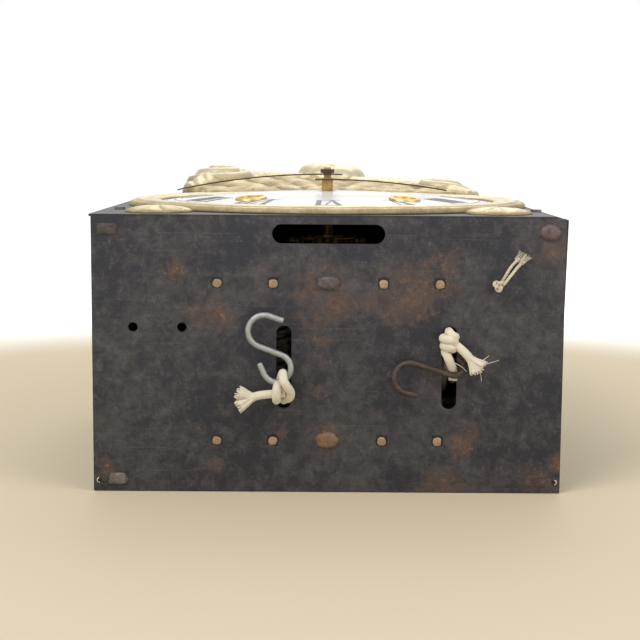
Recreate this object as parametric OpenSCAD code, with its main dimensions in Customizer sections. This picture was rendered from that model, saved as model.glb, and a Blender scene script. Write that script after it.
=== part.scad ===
// Two-train weight-driven clock movement in an iron cage, lying on its back.
// +Z points out of the dial, +Y towards twelve o'clock. The origin is on the
// axis of the hands, in the plane of the back.

/* [Cage] */
// Width of the seat and top plates
cage_w = 250; // [240:1:280]
// Height over the seat and top plates
cage_h = 250; // [240:1:290]
// Depth of the seat and top plates, back to front
cage_d = 147; // [142:1:165]
// Thickness of the seat and top plates
plate_t = 2.4; // [1.6:0.1:4]
// Height of the hand axis above the underside of the seat plate
hands_rise = 125; // [120:1:135]
// Width of a corner post
post_w = 10; // [7:0.5:12]
// Depth of a corner post
post_d = 7; // [5:0.5:9]
// Distance of the front posts' axes from the plate's side edges
front_post_inset = 8.4; // [7:0.2:14]
// Distance of the back posts' axes from the plate's side edges
back_post_inset = 13; // [11:0.2:18]
// Distance of all post axes from the plate's front and back edges
post_inset_z = 6.5; // [5:0.5:10]
// Thickness of doors, back cover and dial plate
sheet_t = 1.2; // [0.8:0.1:1.6]
// How far the right-hand door stands ajar, in degrees
door_ajar = 1.2; // [0:0.1:2]

/* [Bars] */
// Distance of each train's winding arbor from the hand axis
train_x = 44; // [43:0.5:50]
// Height of the rear row of bars above the back
bar_z_back = 28; // [24:0.5:32]
// Height of the front row of bars above the back
bar_z_front = 112.5; // [110:0.5:116]
// Width of a train bar
bar_w = 40; // [38:1:46]
// Thickness of a train bar
bar_t = 4.5; // [3.5:0.5:6]
// Distance between the two feet of a train bar
bar_feet = 29.7; // [26:0.1:32]
// Side of a train bar's foot tenon
foot_w = 4.6; // [3.6:0.1:5.2]
// Width of a centre bar
centre_bar_w = 11; // [9:0.5:14]
// Thickness of a centre bar
centre_bar_t = 6; // [5:0.5:7]

/* [Seat plate openings] */
// Width of the pendulum slot
pendulum_slot_w = 59.5; // [40:0.5:80]
// Height of the pendulum slot
pendulum_slot_h = 10.2; // [8:0.2:11]
// Distance of the pendulum slot's middle from the plate's front edge
pendulum_slot_inset = 8.7; // [8:0.1:12]
// Length of a weight cord's slot
cord_slot_l = 44.5; // [40:0.5:50]
// Width of a weight cord's slot
cord_slot_w = 8; // [6:0.5:10]
// Height of the middle of the weight cord slots above the back
cord_slot_z = 67.5; // [64:0.5:70]
// Radius of the two screw holes at the left
screw_hole_r = 2.5; // [1.5:0.1:3.5]
// Distance of the nearer screw hole from the hand axis
screw_hole_x = 77.4; // [74:0.2:82]
// Distance between the two screw holes
screw_hole_gap = 25.9; // [18:0.1:30]
// Height of the screw holes above the back
screw_hole_z = 88.5; // [80:0.5:96]
// Radius of the repeat cord's hole
repeat_hole_r = 2.6; // [2:0.1:4]

/* [Trains] */
// Height of the winding arbors above the seat plate's underside
drum_rise = 70; // [66:1:76]
// Height of the second arbors over the winding arbors
second_rise = 44; // [42:0.5:48]
// Distance of the third arbors from the hand axis, sideways
third_x = 28; // [27:0.5:32]
// Height of the third arbors over the hand axis
third_y = 25; // [22:0.5:30]
// Height of the escape arbor over the hand axis
escape_y = 38; // [36:0.5:42]
// Distance of the strike's locking arbor from the hand axis, sideways
locking_x = 31; // [30:0.5:34]
// Distance of the fly arbor from the hand axis, sideways
fly_x = 52; // [50:0.5:56]
// Height of the fly arbor over the hand axis
fly_y = 47; // [45:0.5:52]
// Radius of the cord drums
drum_r = 18.2; // [15:0.2:20]
// Radius of the arbors
arbor_r = 2.2; // [1.8:0.1:2.6]
// Radius of the pivots
pivot_r = 1.2; // [0.8:0.1:1.6]
// Side of the winding square
winding_square = 5; // [4:0.1:5.6]
// Thickness of the great wheels
great_t = 3.2; // [2:0.2:4]
// Thickness of the other wheels
wheel_t = 2.2; // [1.4:0.1:3]
// Radius of the escape wheel
escape_r = 19; // [17:0.5:20]
// Distance between hand axis and intermediate wheel stud
motion_gap = 28; // [27:0.5:31]

/* [Dial] */
// Distance of the brass surround's ring from the sides of the cage
ring_inset = 5; // [3:0.5:8]
// Width of the surround's ring, from its outside to the edge of the dial under it
ring_w = 14; // [13:0.5:18]
// Rise of the dial's dome
dial_dome = 7; // [4:0.5:12]
// Thickness of the dial
dial_t = 1.2; // [0.8:0.1:2]
// Distance of the dial's edge from the sheet behind it
dial_gap = 0.4; // [0.3:0.1:3]
// Height of the pediment over the hand axis
pediment_rise = 262; // [250:1:280]
// Distance of the pediment's middle from the line over the hand axis
pediment_shift = 5; // [-6:0.5:6]
// Sideways twist of the pediment, in degrees
pediment_twist = 3.1; // [0:0.1:4]
// Length of the minute hand
minute_hand_l = 92; // [80:1:98]
// Length of the hour hand
hour_hand_l = 74; // [60:1:80]
// Angle of the minute hand, from twelve o'clock
minute_hand_angle = 88; // [0:1:359]
// Angle of the hour hand, from twelve o'clock
hour_hand_angle = -84; // [-180:1:180]

/* [Bell] */
// Outer radius of the bell's mouth
bell_r = 45; // [40:0.5:50]
// Height of the bell
bell_h = 40; // [36:0.5:46]
// Wall of the bell
bell_wall = 3; // [2:0.2:4]
// Distance of the bell's mouth above the top plate
bell_lift = 14; // [12:0.5:20]

/* [Cords and hooks] */
// Diameter of the weight cords
cord_d = 4.5; // [3.5:0.1:5]
// Distance between neighbouring turns of cord on a drum
cord_pitch = 5; // [4.95:0.01:5.2]
// Turns of cord on a drum
cord_turns = 8; // [4:1:9]
// Diameter of the hooks' wire
hook_wire = 3.2; // [2.4:0.1:3.6]
// Distance of the hooks' plane below the seat plate
hook_drop = 7.2; // [7:0.1:10]
// Diameter of the repeat cord
repeat_cord_d = 2; // [1.4:0.1:2.4]

/* [Hidden] */
$fn = 64;

// Colours
iron = "#3b3838";
rust = "#7a5a48";
brass = "#c9a95e";
steel = "#8f8d88";
enamel = "#f4f2ea";
cotton = "#e6dcc0";
bronze = "#b08d4a";
gilt = "#d8c48c";

// Clearances
fit = 0.05;       // pivots and tenons in their holes
seat = 0.02;      // pressed pieces on their arbors
clear = 0.5;      // pieces that pass each other

// Places along Y
seat_y = -hands_rise;
top_y = cage_h - hands_rise;
inner_y0 = seat_y + plate_t;
inner_y1 = top_y - plate_t;
inner_h = inner_y1 - inner_y0;
drum_y = seat_y + drum_rise;
second_y = drum_y + second_rise;

// Arbor places in the plane of the dial
hand_axis = [0, 0];
going_drum_at = [train_x, drum_y];
second_at = [train_x, second_y];
third_at = [third_x, third_y];
escape_at = [0, escape_y];
motion_at = [0, -motion_gap];
strike_drum_at = [-train_x, drum_y];
pin_at = [-train_x, second_y];
locking_at = [-locking_x, third_y];
fly_at = [-fly_x, fly_y];

// Tooth counts
great_teeth = 84;
second_teeth = 72;
third_teeth = 64;
leaves = 8;
transfer_teeth = 54;
cannon_leaves = 10;
intermediate_teeth = 30;
hour_teeth = 32;
escape_teeth = 25;
hammer_pins = 9;

// Modules that follow from the arbors' places
great_m = 2 * norm(second_at - going_drum_at) / (great_teeth + leaves);
second_m = 2 * norm(third_at - second_at) / (second_teeth + leaves);
third_m = 2 * norm(escape_at - third_at) / (third_teeth + leaves);
pin_m = 2 * norm(locking_at - pin_at) / (second_teeth + leaves);
locking_m = 2 * norm(fly_at - locking_at) / (third_teeth + leaves);
transfer_m = 2 * norm(second_at - hand_axis) / (2 * transfer_teeth);
motion_m = 2 * motion_gap / (cannon_leaves + intermediate_teeth);

// Dial and its surround
ring_r = cage_w / 2 - ring_inset;
dial_r = ring_r - ring_w;

// Levels along Z
back_bar_top = bar_z_back + centre_bar_t / 2;
front_bar_low = bar_z_front - centre_bar_t / 2;
front_bar_top = bar_z_front + centre_bar_t / 2;
great_z = back_bar_top + 5;
ratchet_z = great_z + great_t + 0.6;
ratchet_t = 2.6;
drum_z0 = ratchet_z + ratchet_t;
drum_z1 = cord_slot_z + cord_slot_l / 2 + 1;
second_z = drum_z1 + 5;
escape_z = second_z - 8.5;
third_z = 60;
locking_z = third_z + 10;
transfer_z = front_bar_top + 1.5;
cannon_z = transfer_z + wheel_t + 1.6;
hour_z = cannon_z + 5.2;
snail_z = hour_z + wheel_t + 0.8;
dial_plate_z = cage_d;
dial_plate_top = dial_plate_z + sheet_t;
dial_z = dial_plate_top + dial_gap;
dome_r = (dial_r * dial_r + dial_dome * dial_dome) / (2 * dial_dome);
dial_top = dial_z + dial_t + dial_dome;
hour_hand_z = dial_top + 6.5;
minute_hand_z = hour_hand_z + 3.2;
hand_t = 0.8;
hand_bow_r = 420;

// Places of the cords
cord_r = cord_d / 2;
cord_run = drum_r + cord_r + 0.2;
going_cord_x = train_x + cord_run;
strike_cord_x = -train_x + cord_run;
cord_z0 = cord_slot_z - cord_slot_l / 2 + cord_r + 0.3;
hook_y = seat_y - hook_drop;
wire_r = hook_wire / 2;
loop_r = wire_r + cord_r + 0.35;
repeat_at = [89.5, 112];

function polar(r, a) = r * [cos(a), sin(a)];
function heading(a, b) = atan2(b.y - a.y, b.x - a.x);
function unit(v) = v / norm(v);
function arc(r, a0, a1, steps) = [for (i = [0:steps]) polar(r, a0 + (a1 - a0) * i / steps)];
function shifted(points, by) = [for (p = points) p + by];
function reversed(points) = [for (i = [len(points) - 1:-1:0]) points[i]];

// One tooth as [radius, angle from the tooth's middle]
function wheel_tooth(r, m, p) = [
    [r - 1.6 * m, -0.235 * p], [r, -0.235 * p], [r + 0.75 * m, -0.155 * p], [r + 1.25 * m, -0.047 * p],
    [r + 1.25 * m, 0.047 * p], [r + 0.75 * m, 0.155 * p], [r, 0.235 * p], [r - 1.6 * m, 0.235 * p]
];
function pinion_leaf(r, m, p) = [
    [r - 1.75 * m, -0.165 * p], [r, -0.165 * p], [r + 0.49 * m, -0.1 * p], [r + 0.7 * m, -0.033 * p],
    [r + 0.7 * m, 0.033 * p], [r + 0.49 * m, 0.1 * p], [r, 0.165 * p], [r - 1.75 * m, 0.165 * p]
];
function wheel_outline(n, m, phase) =
    [for (i = [0:n - 1]) for (q = wheel_tooth(n * m / 2, m, 360 / n)) polar(q[0], phase + i * 360 / n + q[1])];
function pinion_outline(n, m, phase) =
    [for (i = [0:n - 1]) for (q = pinion_leaf(n * m / 2, m, 360 / n)) polar(q[0], phase + i * 360 / n + q[1])];

// Angle of a pinion whose gap faces the tooth that a wheel turns towards it
function facing(wheel, pinion, n) = heading(wheel, pinion) + 180 + 180 / n;

// Tube swept along a path: rings of points, then side and end triangles
function ring_points(path, r, sides, ref) = [
    for (i = [0:len(path) - 1])
        let (t = unit(path[min(i + 1, len(path) - 1)] - path[max(i - 1, 0)]),
             u = unit(cross(t, ref)),
             w = cross(t, u))
        for (k = [0:sides - 1])
            path[i] + (is_list(r) ? r[i] : r) * (cos(360 * k / sides) * u + sin(360 * k / sides) * w)
];
function tube_faces(rings, sides) = concat(
    [for (i = [0:rings - 2]) for (k = [0:sides - 1])
        let (a = i * sides + k, b = i * sides + (k + 1) % sides)
        each [[a, a + sides, b], [b, a + sides, b + sides]]],
    [for (k = [1:sides - 2]) [0, k, k + 1]],
    [for (k = [1:sides - 2]) let (e = (rings - 1) * sides) [e, e + k + 1, e + k]]
);
module tube(path, d, sides = 8, ref = [0, 0, 1])
    polyhedron(ring_points(path, d / 2, sides, ref), tube_faces(len(path), sides), convexity = 8);

// Sheets normal to Y and X; the outlines are in (x, z) and (y, z)
module across_y(y0, t) translate([0, y0 + t, 0]) rotate([90, 0, 0]) linear_extrude(t) children();
module across_x(x0, t) translate([x0, 0, 0]) rotate([90, 0, 90]) linear_extrude(t) children();
module rod_y(x, z, y0, y1, r) translate([x, y1, z]) rotate([90, 0, 0]) cylinder(h = y1 - y0, r = r);
module rod_z(p, z0, z1, r) translate([p.x, p.y, z0]) cylinder(h = z1 - z0, r = r);
module box_at(p, size) translate(p - size / 2) cube(size);
module slot2d(p, w, h) {
    long = max(w, h);
    short = min(w, h);
    turn = w > h ? 0 : 90;
    translate(p) rotate(turn) {
        square([long - short, short], center = true);
        for (s = [-1, 1]) translate([s * (long - short) / 2, 0]) circle(d = short);
    }
}

// Cage

post_tenon = [post_w - 1, post_d - 2.4];
function post_places() = [
    for (s = [-1, 1]) each [
        [s * (cage_w / 2 - front_post_inset), cage_d - post_inset_z],
        [s * (cage_w / 2 - back_post_inset), post_inset_z]
    ]
];
bar_rows = [bar_z_back, bar_z_front];
centre_tenon = [centre_bar_w - 2.4, centre_bar_t - 1.4];
door_pin_r = 1.2;
door_pin_at = [cage_w / 2 - 3.2, 5.6];

module plate_outline() translate([-cage_w / 2, 0]) square([cage_w, cage_d]);
module post_holes()
    for (p = post_places()) translate(p) square(post_tenon + 2 * [fit, fit], center = true);
module centre_bar_holes()
    for (z = bar_rows) translate([0, z]) square(centre_tenon + 2 * [fit, fit], center = true);
module door_pin_holes()
    for (s = [-1, 1]) translate([s * door_pin_at.x, door_pin_at.y]) circle(r = door_pin_r + fit);

module seat_plate() color(iron)
    across_y(seat_y, plate_t) difference() {
        plate_outline();
        post_holes();
        centre_bar_holes();
        door_pin_holes();
        for (s = [-1, 1], f = [-1, 1], z = bar_rows)
            translate([s * train_x + f * bar_feet / 2, z]) square(foot_w + 0.8, center = true);
        slot2d([0, cage_d - pendulum_slot_inset], pendulum_slot_w, pendulum_slot_h);
        for (x = [going_cord_x, strike_cord_x]) slot2d([x, cord_slot_z], cord_slot_w, cord_slot_l);
        for (k = [0, 1]) translate([-screw_hole_x - k * screw_hole_gap, screw_hole_z]) circle(r = screw_hole_r);
        translate(repeat_at) circle(r = repeat_hole_r);
    }

bar_tenon_w = 12;
hammer_at = [-42, 75];
hammer_z = 75;
bell_at = [0, 75];
bell_post_r = 3;
module top_plate() color(iron)
    across_y(inner_y1, plate_t) difference() {
        plate_outline();
        post_holes();
        centre_bar_holes();
        door_pin_holes();
        for (s = [-1, 1], z = bar_rows)
            translate([s * train_x, z]) square([bar_tenon_w + 2 * fit, bar_t + 2 * fit], center = true);
        translate([hammer_arm_x + 4, hammer_z]) square([22, 10], center = true);
        translate(bell_at) circle(r = bell_post_r + fit);
    }

rivet_h = 0.7;
module corner_posts() color(rust)
    for (p = post_places()) {
        box_at([p.x, inner_y0 + inner_h / 2, p.y], [post_w, inner_h, post_d]);
        for (s = [-1, 1]) {
            mid = s > 0 ? top_y : seat_y;
            box_at([p.x, mid - s * plate_t / 2, p.y], [post_tenon.x, plate_t, post_tenon.y]);
            box_at([p.x, mid + s * rivet_h / 2, p.y], [post_tenon.x + 0.8, rivet_h, post_tenon.y + 0.8]);
        }
    }

module centre_bars() color(rust) difference() {
    for (z = bar_rows) {
        box_at([0, inner_y0 + inner_h / 2, z], [centre_bar_w, inner_h, centre_bar_t]);
        for (s = [-1, 1]) {
            mid = s > 0 ? top_y : seat_y;
            box_at([0, mid - s * plate_t / 2, z], [centre_tenon.x, plate_t, centre_tenon.y]);
            box_at([0, mid + s * rivet_h / 2, z], [centre_tenon.x + 2.4, rivet_h, centre_tenon.y + 1.4]);
        }
    }
    for (p = [escape_at, anchor_at]) rod_z(p, 0, cage_d, pivot_r + fit);
    rod_z(hand_axis, 0, bar_z_back + bar_t, pivot_r + fit);
    rod_z(hand_axis, bar_z_front - bar_t, cage_d, arbor_r + fit);
    rod_z(motion_at, bar_z_front - bar_t, cage_d, stud_r + seat);
}

// A pair of bars for one train, with two feet below and one wedged tenon above
arch_w = bar_feet - foot_w - 4;
arch_h = 34;
tenon_up = 9;
module train_bar_outline(s) difference() {
    union() {
        translate([s * train_x - bar_w / 2, inner_y0]) square([bar_w, inner_h]);
        for (f = [-1, 1])
            translate([s * train_x + f * bar_feet / 2 - foot_w / 2, seat_y + 0.3]) square([foot_w, plate_t]);
        translate([s * train_x - bar_tenon_w / 2, inner_y1]) square([bar_tenon_w, plate_t + tenon_up]);
    }
    translate([s * train_x, inner_y0]) square([arch_w, 2 * (arch_h - arch_w / 2)], center = true);
    translate([s * train_x, inner_y0 + arch_h - arch_w / 2]) circle(d = arch_w);
    translate([s * train_x, top_y + wedge_h / 2]) square([wedge_w + 2 * fit, wedge_h + 2 * fit], center = true);
}
wedge_w = 3;
wedge_h = 3.4;
winding_back_r = 2.4;
winding_front_r = 3.7;
module train_bars(s, pivots, studs) color(rust) difference() {
    for (z = bar_rows) translate([0, 0, z - bar_t / 2]) linear_extrude(bar_t) train_bar_outline(s);
    for (p = pivots) rod_z(p, 0, cage_d, pivot_r + fit);
    for (p = studs) rod_z(p, bar_z_front - bar_t, cage_d, guide_r + seat);
    rod_z([s * train_x, drum_y], 0, bar_z_back + bar_t, winding_back_r + fit);
    rod_z([s * train_x, drum_y], bar_z_front - bar_t, cage_d, winding_front_r + fit);
}
module going_bars() train_bars(1, [second_at, third_at], [lever_at]);
module strike_bars()
    train_bars(-1, [pin_at, locking_at, fly_at, hammer_at], [for (y = rack_guides) [rack_x - 4, y]]);

module bar_wedges() color(steel)
    for (s = [-1, 1], z = bar_rows)
        box_at([s * train_x, top_y + wedge_h / 2, z], [wedge_w, wedge_h, bar_t + 12]);

// Back cover, dial plate and the screws that hold them to the posts

screw_r = 1.6;
screw_head_r = 3;
screw_y = 0.3 * inner_h;
module screw_places(z, inset)
    for (s = [-1, 1], v = [-1, 1])
        translate([s * (cage_w / 2 - inset), inner_y0 + inner_h / 2 + v * screw_y, z]) children();

cover_inset = 5.6;
module back_cover() color(iron) difference() {
    translate([-cage_w / 2 + cover_inset, inner_y0 + fit, 0])
        cube([cage_w - 2 * cover_inset, inner_h - 2 * fit, sheet_t]);
    screw_places(-0.01, back_post_inset)
        cylinder(h = sheet_t + 0.02, r1 = screw_head_r + fit, r2 = screw_r + fit);
}
module dial_plate() color(iron) difference() {
    translate([-cage_w / 2 - 1, seat_y, dial_plate_z]) cube([cage_w - 4, cage_h, sheet_t]);
    rod_z(hand_axis, dial_plate_z - 1, dial_plate_top + 1, 12);
    for (p = [going_drum_at, strike_drum_at]) rod_z(p, dial_plate_z - 1, dial_plate_top + 1, 9);
    screw_places(dial_plate_z - 1, front_post_inset) cylinder(h = sheet_t + 2, r = screw_r + fit);
}
module case_screws() color(steel) {
    screw_places(0, back_post_inset) cylinder(h = sheet_t, r1 = screw_head_r, r2 = screw_r);
    screw_places(dial_plate_z, front_post_inset) {
        cylinder(h = sheet_t, r = screw_r);
        translate([0, 0, sheet_t]) difference() {
            cylinder(h = 1.4, r = screw_head_r);
            translate([0, 0, 1.2]) cube([2 * screw_head_r + 1, 0.8, 0.8], center = true);
        }
    }
}

// Doors: a sheet with a rolled edge that turns on two pins

door_y0 = inner_y0 + clear;
door_y1 = inner_y1 - clear;
roll_r = 1.9;
door_z1 = cage_d - 0.6;
module door(s) color(iron) {
    x_in = door_pin_at.x + 0.6;
    translate([s > 0 ? x_in : -x_in - sheet_t, door_y0, door_pin_at.y])
        cube([sheet_t, door_y1 - door_y0, door_z1 - door_pin_at.y]);
    rod_y(s * door_pin_at.x, door_pin_at.y, door_y0, door_y1, roll_r);
    for (end = [[seat_y + 0.6, door_y0], [door_y1, top_y - 0.6]])
        rod_y(s * door_pin_at.x, door_pin_at.y, end[0], end[1], door_pin_r);
}
module left_door() door(-1);
module right_door()
    translate([door_pin_at.x, 0, door_pin_at.y]) rotate([0, door_ajar, 0])
        translate([-door_pin_at.x, 0, -door_pin_at.y]) door(1);

// Dial and surround

function dome_z(r) = dial_top - dome_r + sqrt(dome_r * dome_r - r * r);
dome_steps = 16;
dial_foot_at = dial_r - 14;
module enamel_dial() color(enamel) {
    dial_dome_shell();
    for (a = [30, 150, 270])
        rod_z(polar(dial_foot_at, a), dial_plate_top + fit, dome_z(dial_foot_at) - dial_t / 2, 2);
}
module dial_dome_shell() difference() {
    rotate_extrude() polygon(concat(
        [for (i = [0:dome_steps]) [dial_r * i / dome_steps, dome_z(dial_r * i / dome_steps) - dial_t]],
        [for (i = [dome_steps:-1:0]) [dial_r * i / dome_steps, dome_z(dial_r * i / dome_steps)]]));
    rod_z(hand_axis, dial_plate_top, dial_top + 1, 5.5);
    for (p = [going_drum_at, strike_drum_at]) rod_z(p, dial_plate_top, dial_top + 1, 6.5);
}
module winding_hole_rims() color(brass)
    for (p = [going_drum_at, strike_drum_at])
        translate([0, 0, dial_top - dome_r]) rotate([0, 0, heading(hand_axis, p)])
            rotate([0, asin(norm(p) / dome_r), 0]) translate([0, 0, dome_r + 0.06]) rotate_extrude()
                polygon([[6.5, 0], [9.2, 0], [8.8, 0.9], [7.6, 1.5], [6.8, 1.2]]);

surround_z = dial_plate_top + 0.05;
lip_z = dome_z(dial_r - 5.5) + 0.05;
module ring_profile() polygon([
    [ring_r, surround_z], [ring_r, surround_z + 1.6], [ring_r - 2.5, surround_z + 3.4],
    [ring_r - 6.5, surround_z + 4.2], [ring_r - 10, surround_z + 3.8],
    [dial_r - 1.5, lip_z + 1.5], [dial_r - 5.5, lip_z + 0.8], [dial_r - 5.5, lip_z],
    [dial_r + 0.8, lip_z + 0.5], [ring_r - 10.2, surround_z + 2.5], [ring_r - 6.5, surround_z + 3],
    [ring_r - 3.2, surround_z + 2.3], [ring_r - 1.2, surround_z + 1.1], [ring_r - 1.2, surround_z]
]);
// Scrolls of the pediment: [x, height over the hand axis, radius, rise]
side_scroll_x = ring_r - 39;
mid_scroll_x = (ring_r - 32) / 2;
scrolls = [[pediment_shift, pediment_rise - 34, 34, 16],
    for (q = [[mid_scroll_x, 66, 20, 7], [side_scroll_x, 100, 26, 9]]) for (s = [1, -1])
        [pediment_shift + s * q[0], pediment_rise - q[1], q[2], q[3]]];
pediment_top = [[side_scroll_x + 18, 116], [mid_scroll_x, 56], [0, 30],
    [-mid_scroll_x, 56], [-side_scroll_x - 18, 116]];
corner_leaf_at = polar(ring_r + 15, -47);
module pediment_sheet() difference() {
    union() {
        for (q = scrolls) translate([q[0], q[1]]) circle(r = q[2]);
        polygon(concat(arc(ring_r - 8, 150, 30, 24),
            [for (q = pediment_top) [pediment_shift + q[0], pediment_rise - q[1]]]));
    }
    circle(r = ring_r - 7);
}
// A hollow boss, pressed up from the sheet
boss_wall = 1;
module leaf_cap(p, r, rise) translate([p.x, p.y, 0]) difference() {
    cap_r = (r * r + rise * rise) / (2 * rise);
    intersection() {
        translate([0, 0, rise - cap_r]) sphere(r = cap_r);
        cylinder(h = rise + 1, r = r + 1);
    }
    intersection() {
        translate([0, 0, rise - cap_r]) sphere(r = cap_r - boss_wall);
        cylinder(h = rise + 1, r = r + 1);
    }
}
module volute(p, r, wire) translate([p.x, p.y, 0]) rotate_extrude()
    translate([r - wire, 0]) intersection() {
        circle(r = wire);
        translate([-wire, 0]) square(2 * wire);
    }
pediment_end = scrolls[3][0] + scrolls[3][2];
module dial_surround() color(gilt) {
    rotate_extrude() ring_profile();
    translate([pediment_end, 0, surround_z]) rotate([0, pediment_twist, 0]) translate([-pediment_end, 0, 0]) {
        linear_extrude(1) pediment_sheet();
        translate([0, 0, 1]) for (q = scrolls) {
            volute(q, q[2] - 1, 3.2);
            leaf_cap(q, 0.62 * q[2], q[3]);
        }
    }
    for (s = [-1, 1]) translate([0, 0, surround_z]) leaf_cap([s * corner_leaf_at.x, corner_leaf_at.y], 19, 3.4);
}

// Hands, bowed to follow the dial

module bowed(z, l) intersection() {
    translate([0, 0, z - 60]) linear_extrude(80) children();
    translate([-30, 0, z - hand_bow_r]) rotate([0, 90, 0]) difference() {
        cylinder(h = 60, r = hand_bow_r + hand_t, $fn = 256);
        translate([0, 0, -1]) cylinder(h = 62, r = hand_bow_r, $fn = 256);
    }
}
module hand_outline(l, boss, ring) difference() {
    union() {
        circle(r = boss);
        polygon([[-2.2, 0], [2.2, 0], [1.2, 0.72 * l], [-1.2, 0.72 * l]]);
        translate([0, 0.75 * l]) circle(r = ring);
        polygon([[-1.6, 0.75 * l + ring - 0.6], [1.6, 0.75 * l + ring - 0.6], [0.4, l], [-0.4, l]]);
        polygon([[-1.1, -0.1 * l], [1.1, -0.1 * l], [1.8, 0], [-1.8, 0]]);
    }
    translate([0, 0.75 * l]) circle(r = ring - 1.8);
}
hour_pipe_r = arbor_r + 1.2;
module minute_hand() color(steel) rotate(minute_hand_angle) difference() {
    bowed(minute_hand_z, minute_hand_l) hand_outline(minute_hand_l, 6, 5.5);
    rod_z(hand_axis, minute_hand_z - 9, minute_hand_z + 9, arbor_r + seat);
}
module hour_hand() color(steel) rotate(hour_hand_angle) difference() {
    bowed(hour_hand_z, hour_hand_l) hand_outline(hour_hand_l, 7.5, 6.5);
    rod_z(hand_axis, hour_hand_z - 9, hour_hand_z + 9, hour_pipe_r + seat);
}
module hand_nut() color(brass) translate([0, 0, minute_hand_z + hand_t + 0.3]) difference() {
    cylinder(h = 2.4, r = 4.2, $fn = 6);
    translate([0, 0, -1]) cylinder(h = 5, r = arbor_r + seat);
}

// Wheels: a toothed rim on crossed arms, with a bore for its arbor

module crossings(r_in, r_out, arms) {
    half = 90 * 3.4 / r_out;
    for (k = [0:arms - 1]) rotate(k * 360 / arms)
        polygon(concat(arc(r_out, half / 2 + 1, 360 / arms - half / 2 - 1, 10),
                       arc(r_in, 360 / arms - half - 3, half + 3, 4)));
}
module wheel(n, m, phase, t, bore, arms = 4) linear_extrude(t) difference() {
    polygon(wheel_outline(n, m, phase));
    r_out = n * m / 2 - 1.6 * m - 2.6;
    r_in = max(bore + 3, 0.2 * r_out);
    if (r_out - r_in > 6) crossings(r_in, r_out, arms);
    circle(r = (bore + seat) / cos(15), $fn = 12);
}
module pinion(n, m, phase, h, bore) linear_extrude(h) difference() {
    polygon(pinion_outline(n, m, phase));
    circle(r = (bore + seat) / cos(15), $fn = 12);
}
pinion_bore = 1.5;
// An arbor between the bars: thin under its pinion, with a pivot at each end
module arbor(p, pinion_z, pinion_h, z_front = bar_z_front + bar_t / 2) {
    low = back_bar_top + clear;
    high = front_bar_low - clear;
    rod_z(p, bar_z_back - bar_t / 2, low, pivot_r);
    rod_z(p, low, pinion_z - 1, arbor_r);
    rod_z(p, pinion_z - 1, pinion_z + pinion_h + 1, pinion_bore);
    rod_z(p, pinion_z + pinion_h + 1, high, arbor_r);
    rod_z(p, high, z_front, pivot_r);
}
module at(p, z) translate([p.x, p.y, z]) children();
mesh_over = 3;
module pinion_by(wheel, p, z, t, n, m) at(p, z - mesh_over)
    pinion(n, m, facing(wheel, p, n), t + 2 * mesh_over, pinion_bore);

// Great wheels, drums and clicks

ratchet_teeth = 16;
ratchet_r = 15;
click_r = ratchet_r + 0.5;
winding_r = 4;
function ratchet_outline() = [for (i = [0:ratchet_teeth - 1]) each
    [polar(ratchet_r - 2.4, i * 360 / ratchet_teeth), polar(ratchet_r, i * 360 / ratchet_teeth)]];
click_at = polar(26, 144);
click_pin_r = 1.2;
module great_wheel(p) color(brass) {
    at(p, great_z) wheel(great_teeth, great_m, 90, great_t, winding_r + fit, 5);
    at(p + click_at, great_z + great_t) {
        cylinder(h = 0.5, r = 3);
        cylinder(h = ratchet_t + 1, r = click_pin_r);
    }
    color(steel) at(p + polar(31, 216), great_z + great_t) linear_extrude(2)
        rotate(216) polygon(concat(arc(3, 0, 180, 10), [[-3, -8], [-1.8, -8], [-1.8, 0]]));
}
module click(p) color(steel) at(p + click_at, great_z + great_t + 0.6) difference() {
    tip = polar(click_r + 0.2, 105) - click_at;
    linear_extrude(ratchet_t - 0.2) union() {
        circle(r = 3);
        polygon([polar(2.5, heading([0, 0], tip) - 90), tip, tip + polar(0.6, heading([0, 0], tip) + 90),
                 polar(2.5, heading([0, 0], tip) + 90)]);
    }
    translate([0, 0, -1]) cylinder(h = 9, r = click_pin_r + fit);
}
module drum(p) color(rust) {
    at(p, drum_z0) linear_extrude(drum_z1 - drum_z0) difference() {
        circle(r = drum_r);
        circle(r = winding_r + seat);
    }
    color(steel) at(p, ratchet_z) linear_extrude(ratchet_t) difference() {
        polygon(ratchet_outline());
        circle(r = (winding_r + seat) / cos(15), $fn = 12);
    }
}
square_z1 = dome_z(norm(going_drum_at)) - 1.5;
module winding_arbor(p) color(steel) {
    rod_z(p, bar_z_back - bar_t / 2, back_bar_top + clear, winding_back_r);
    rod_z(p, back_bar_top + clear, front_bar_low - clear, winding_r);
    rod_z(p, front_bar_low - clear, front_bar_top, winding_front_r);
    box_at([p.x, p.y, (front_bar_top + square_z1) / 2],
        [winding_square, winding_square, square_z1 - front_bar_top]);
}

// One layer of cord on a drum, leaving it straight downwards on the right
coil_steps = 24;
function coil_path(p, turns, z0, dir) = concat(
    [[p.x + cord_run, p.y - cord_d, z0]],
    [for (i = [0:turns * coil_steps])
        let (a = 360 * i / coil_steps)
        [p.x, p.y, z0 + cord_pitch * i / coil_steps] + cord_run * [cos(a), sin(a), 0]]
);
module cord_winding(p) color(cotton) tube(coil_path(p, cord_turns, cord_z0, 1), cord_d - 0.05, 6);
function least_gap(path, skip) = min([for (i = [0:6:len(path) - 1]) for (j = [i + skip:len(path) - 1])
    norm(path[i] - path[j])]) - cord_d;
echo(least_gap_between_turns = least_gap(coil_path(going_drum_at, cord_turns, cord_z0, 1), 16));

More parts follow.
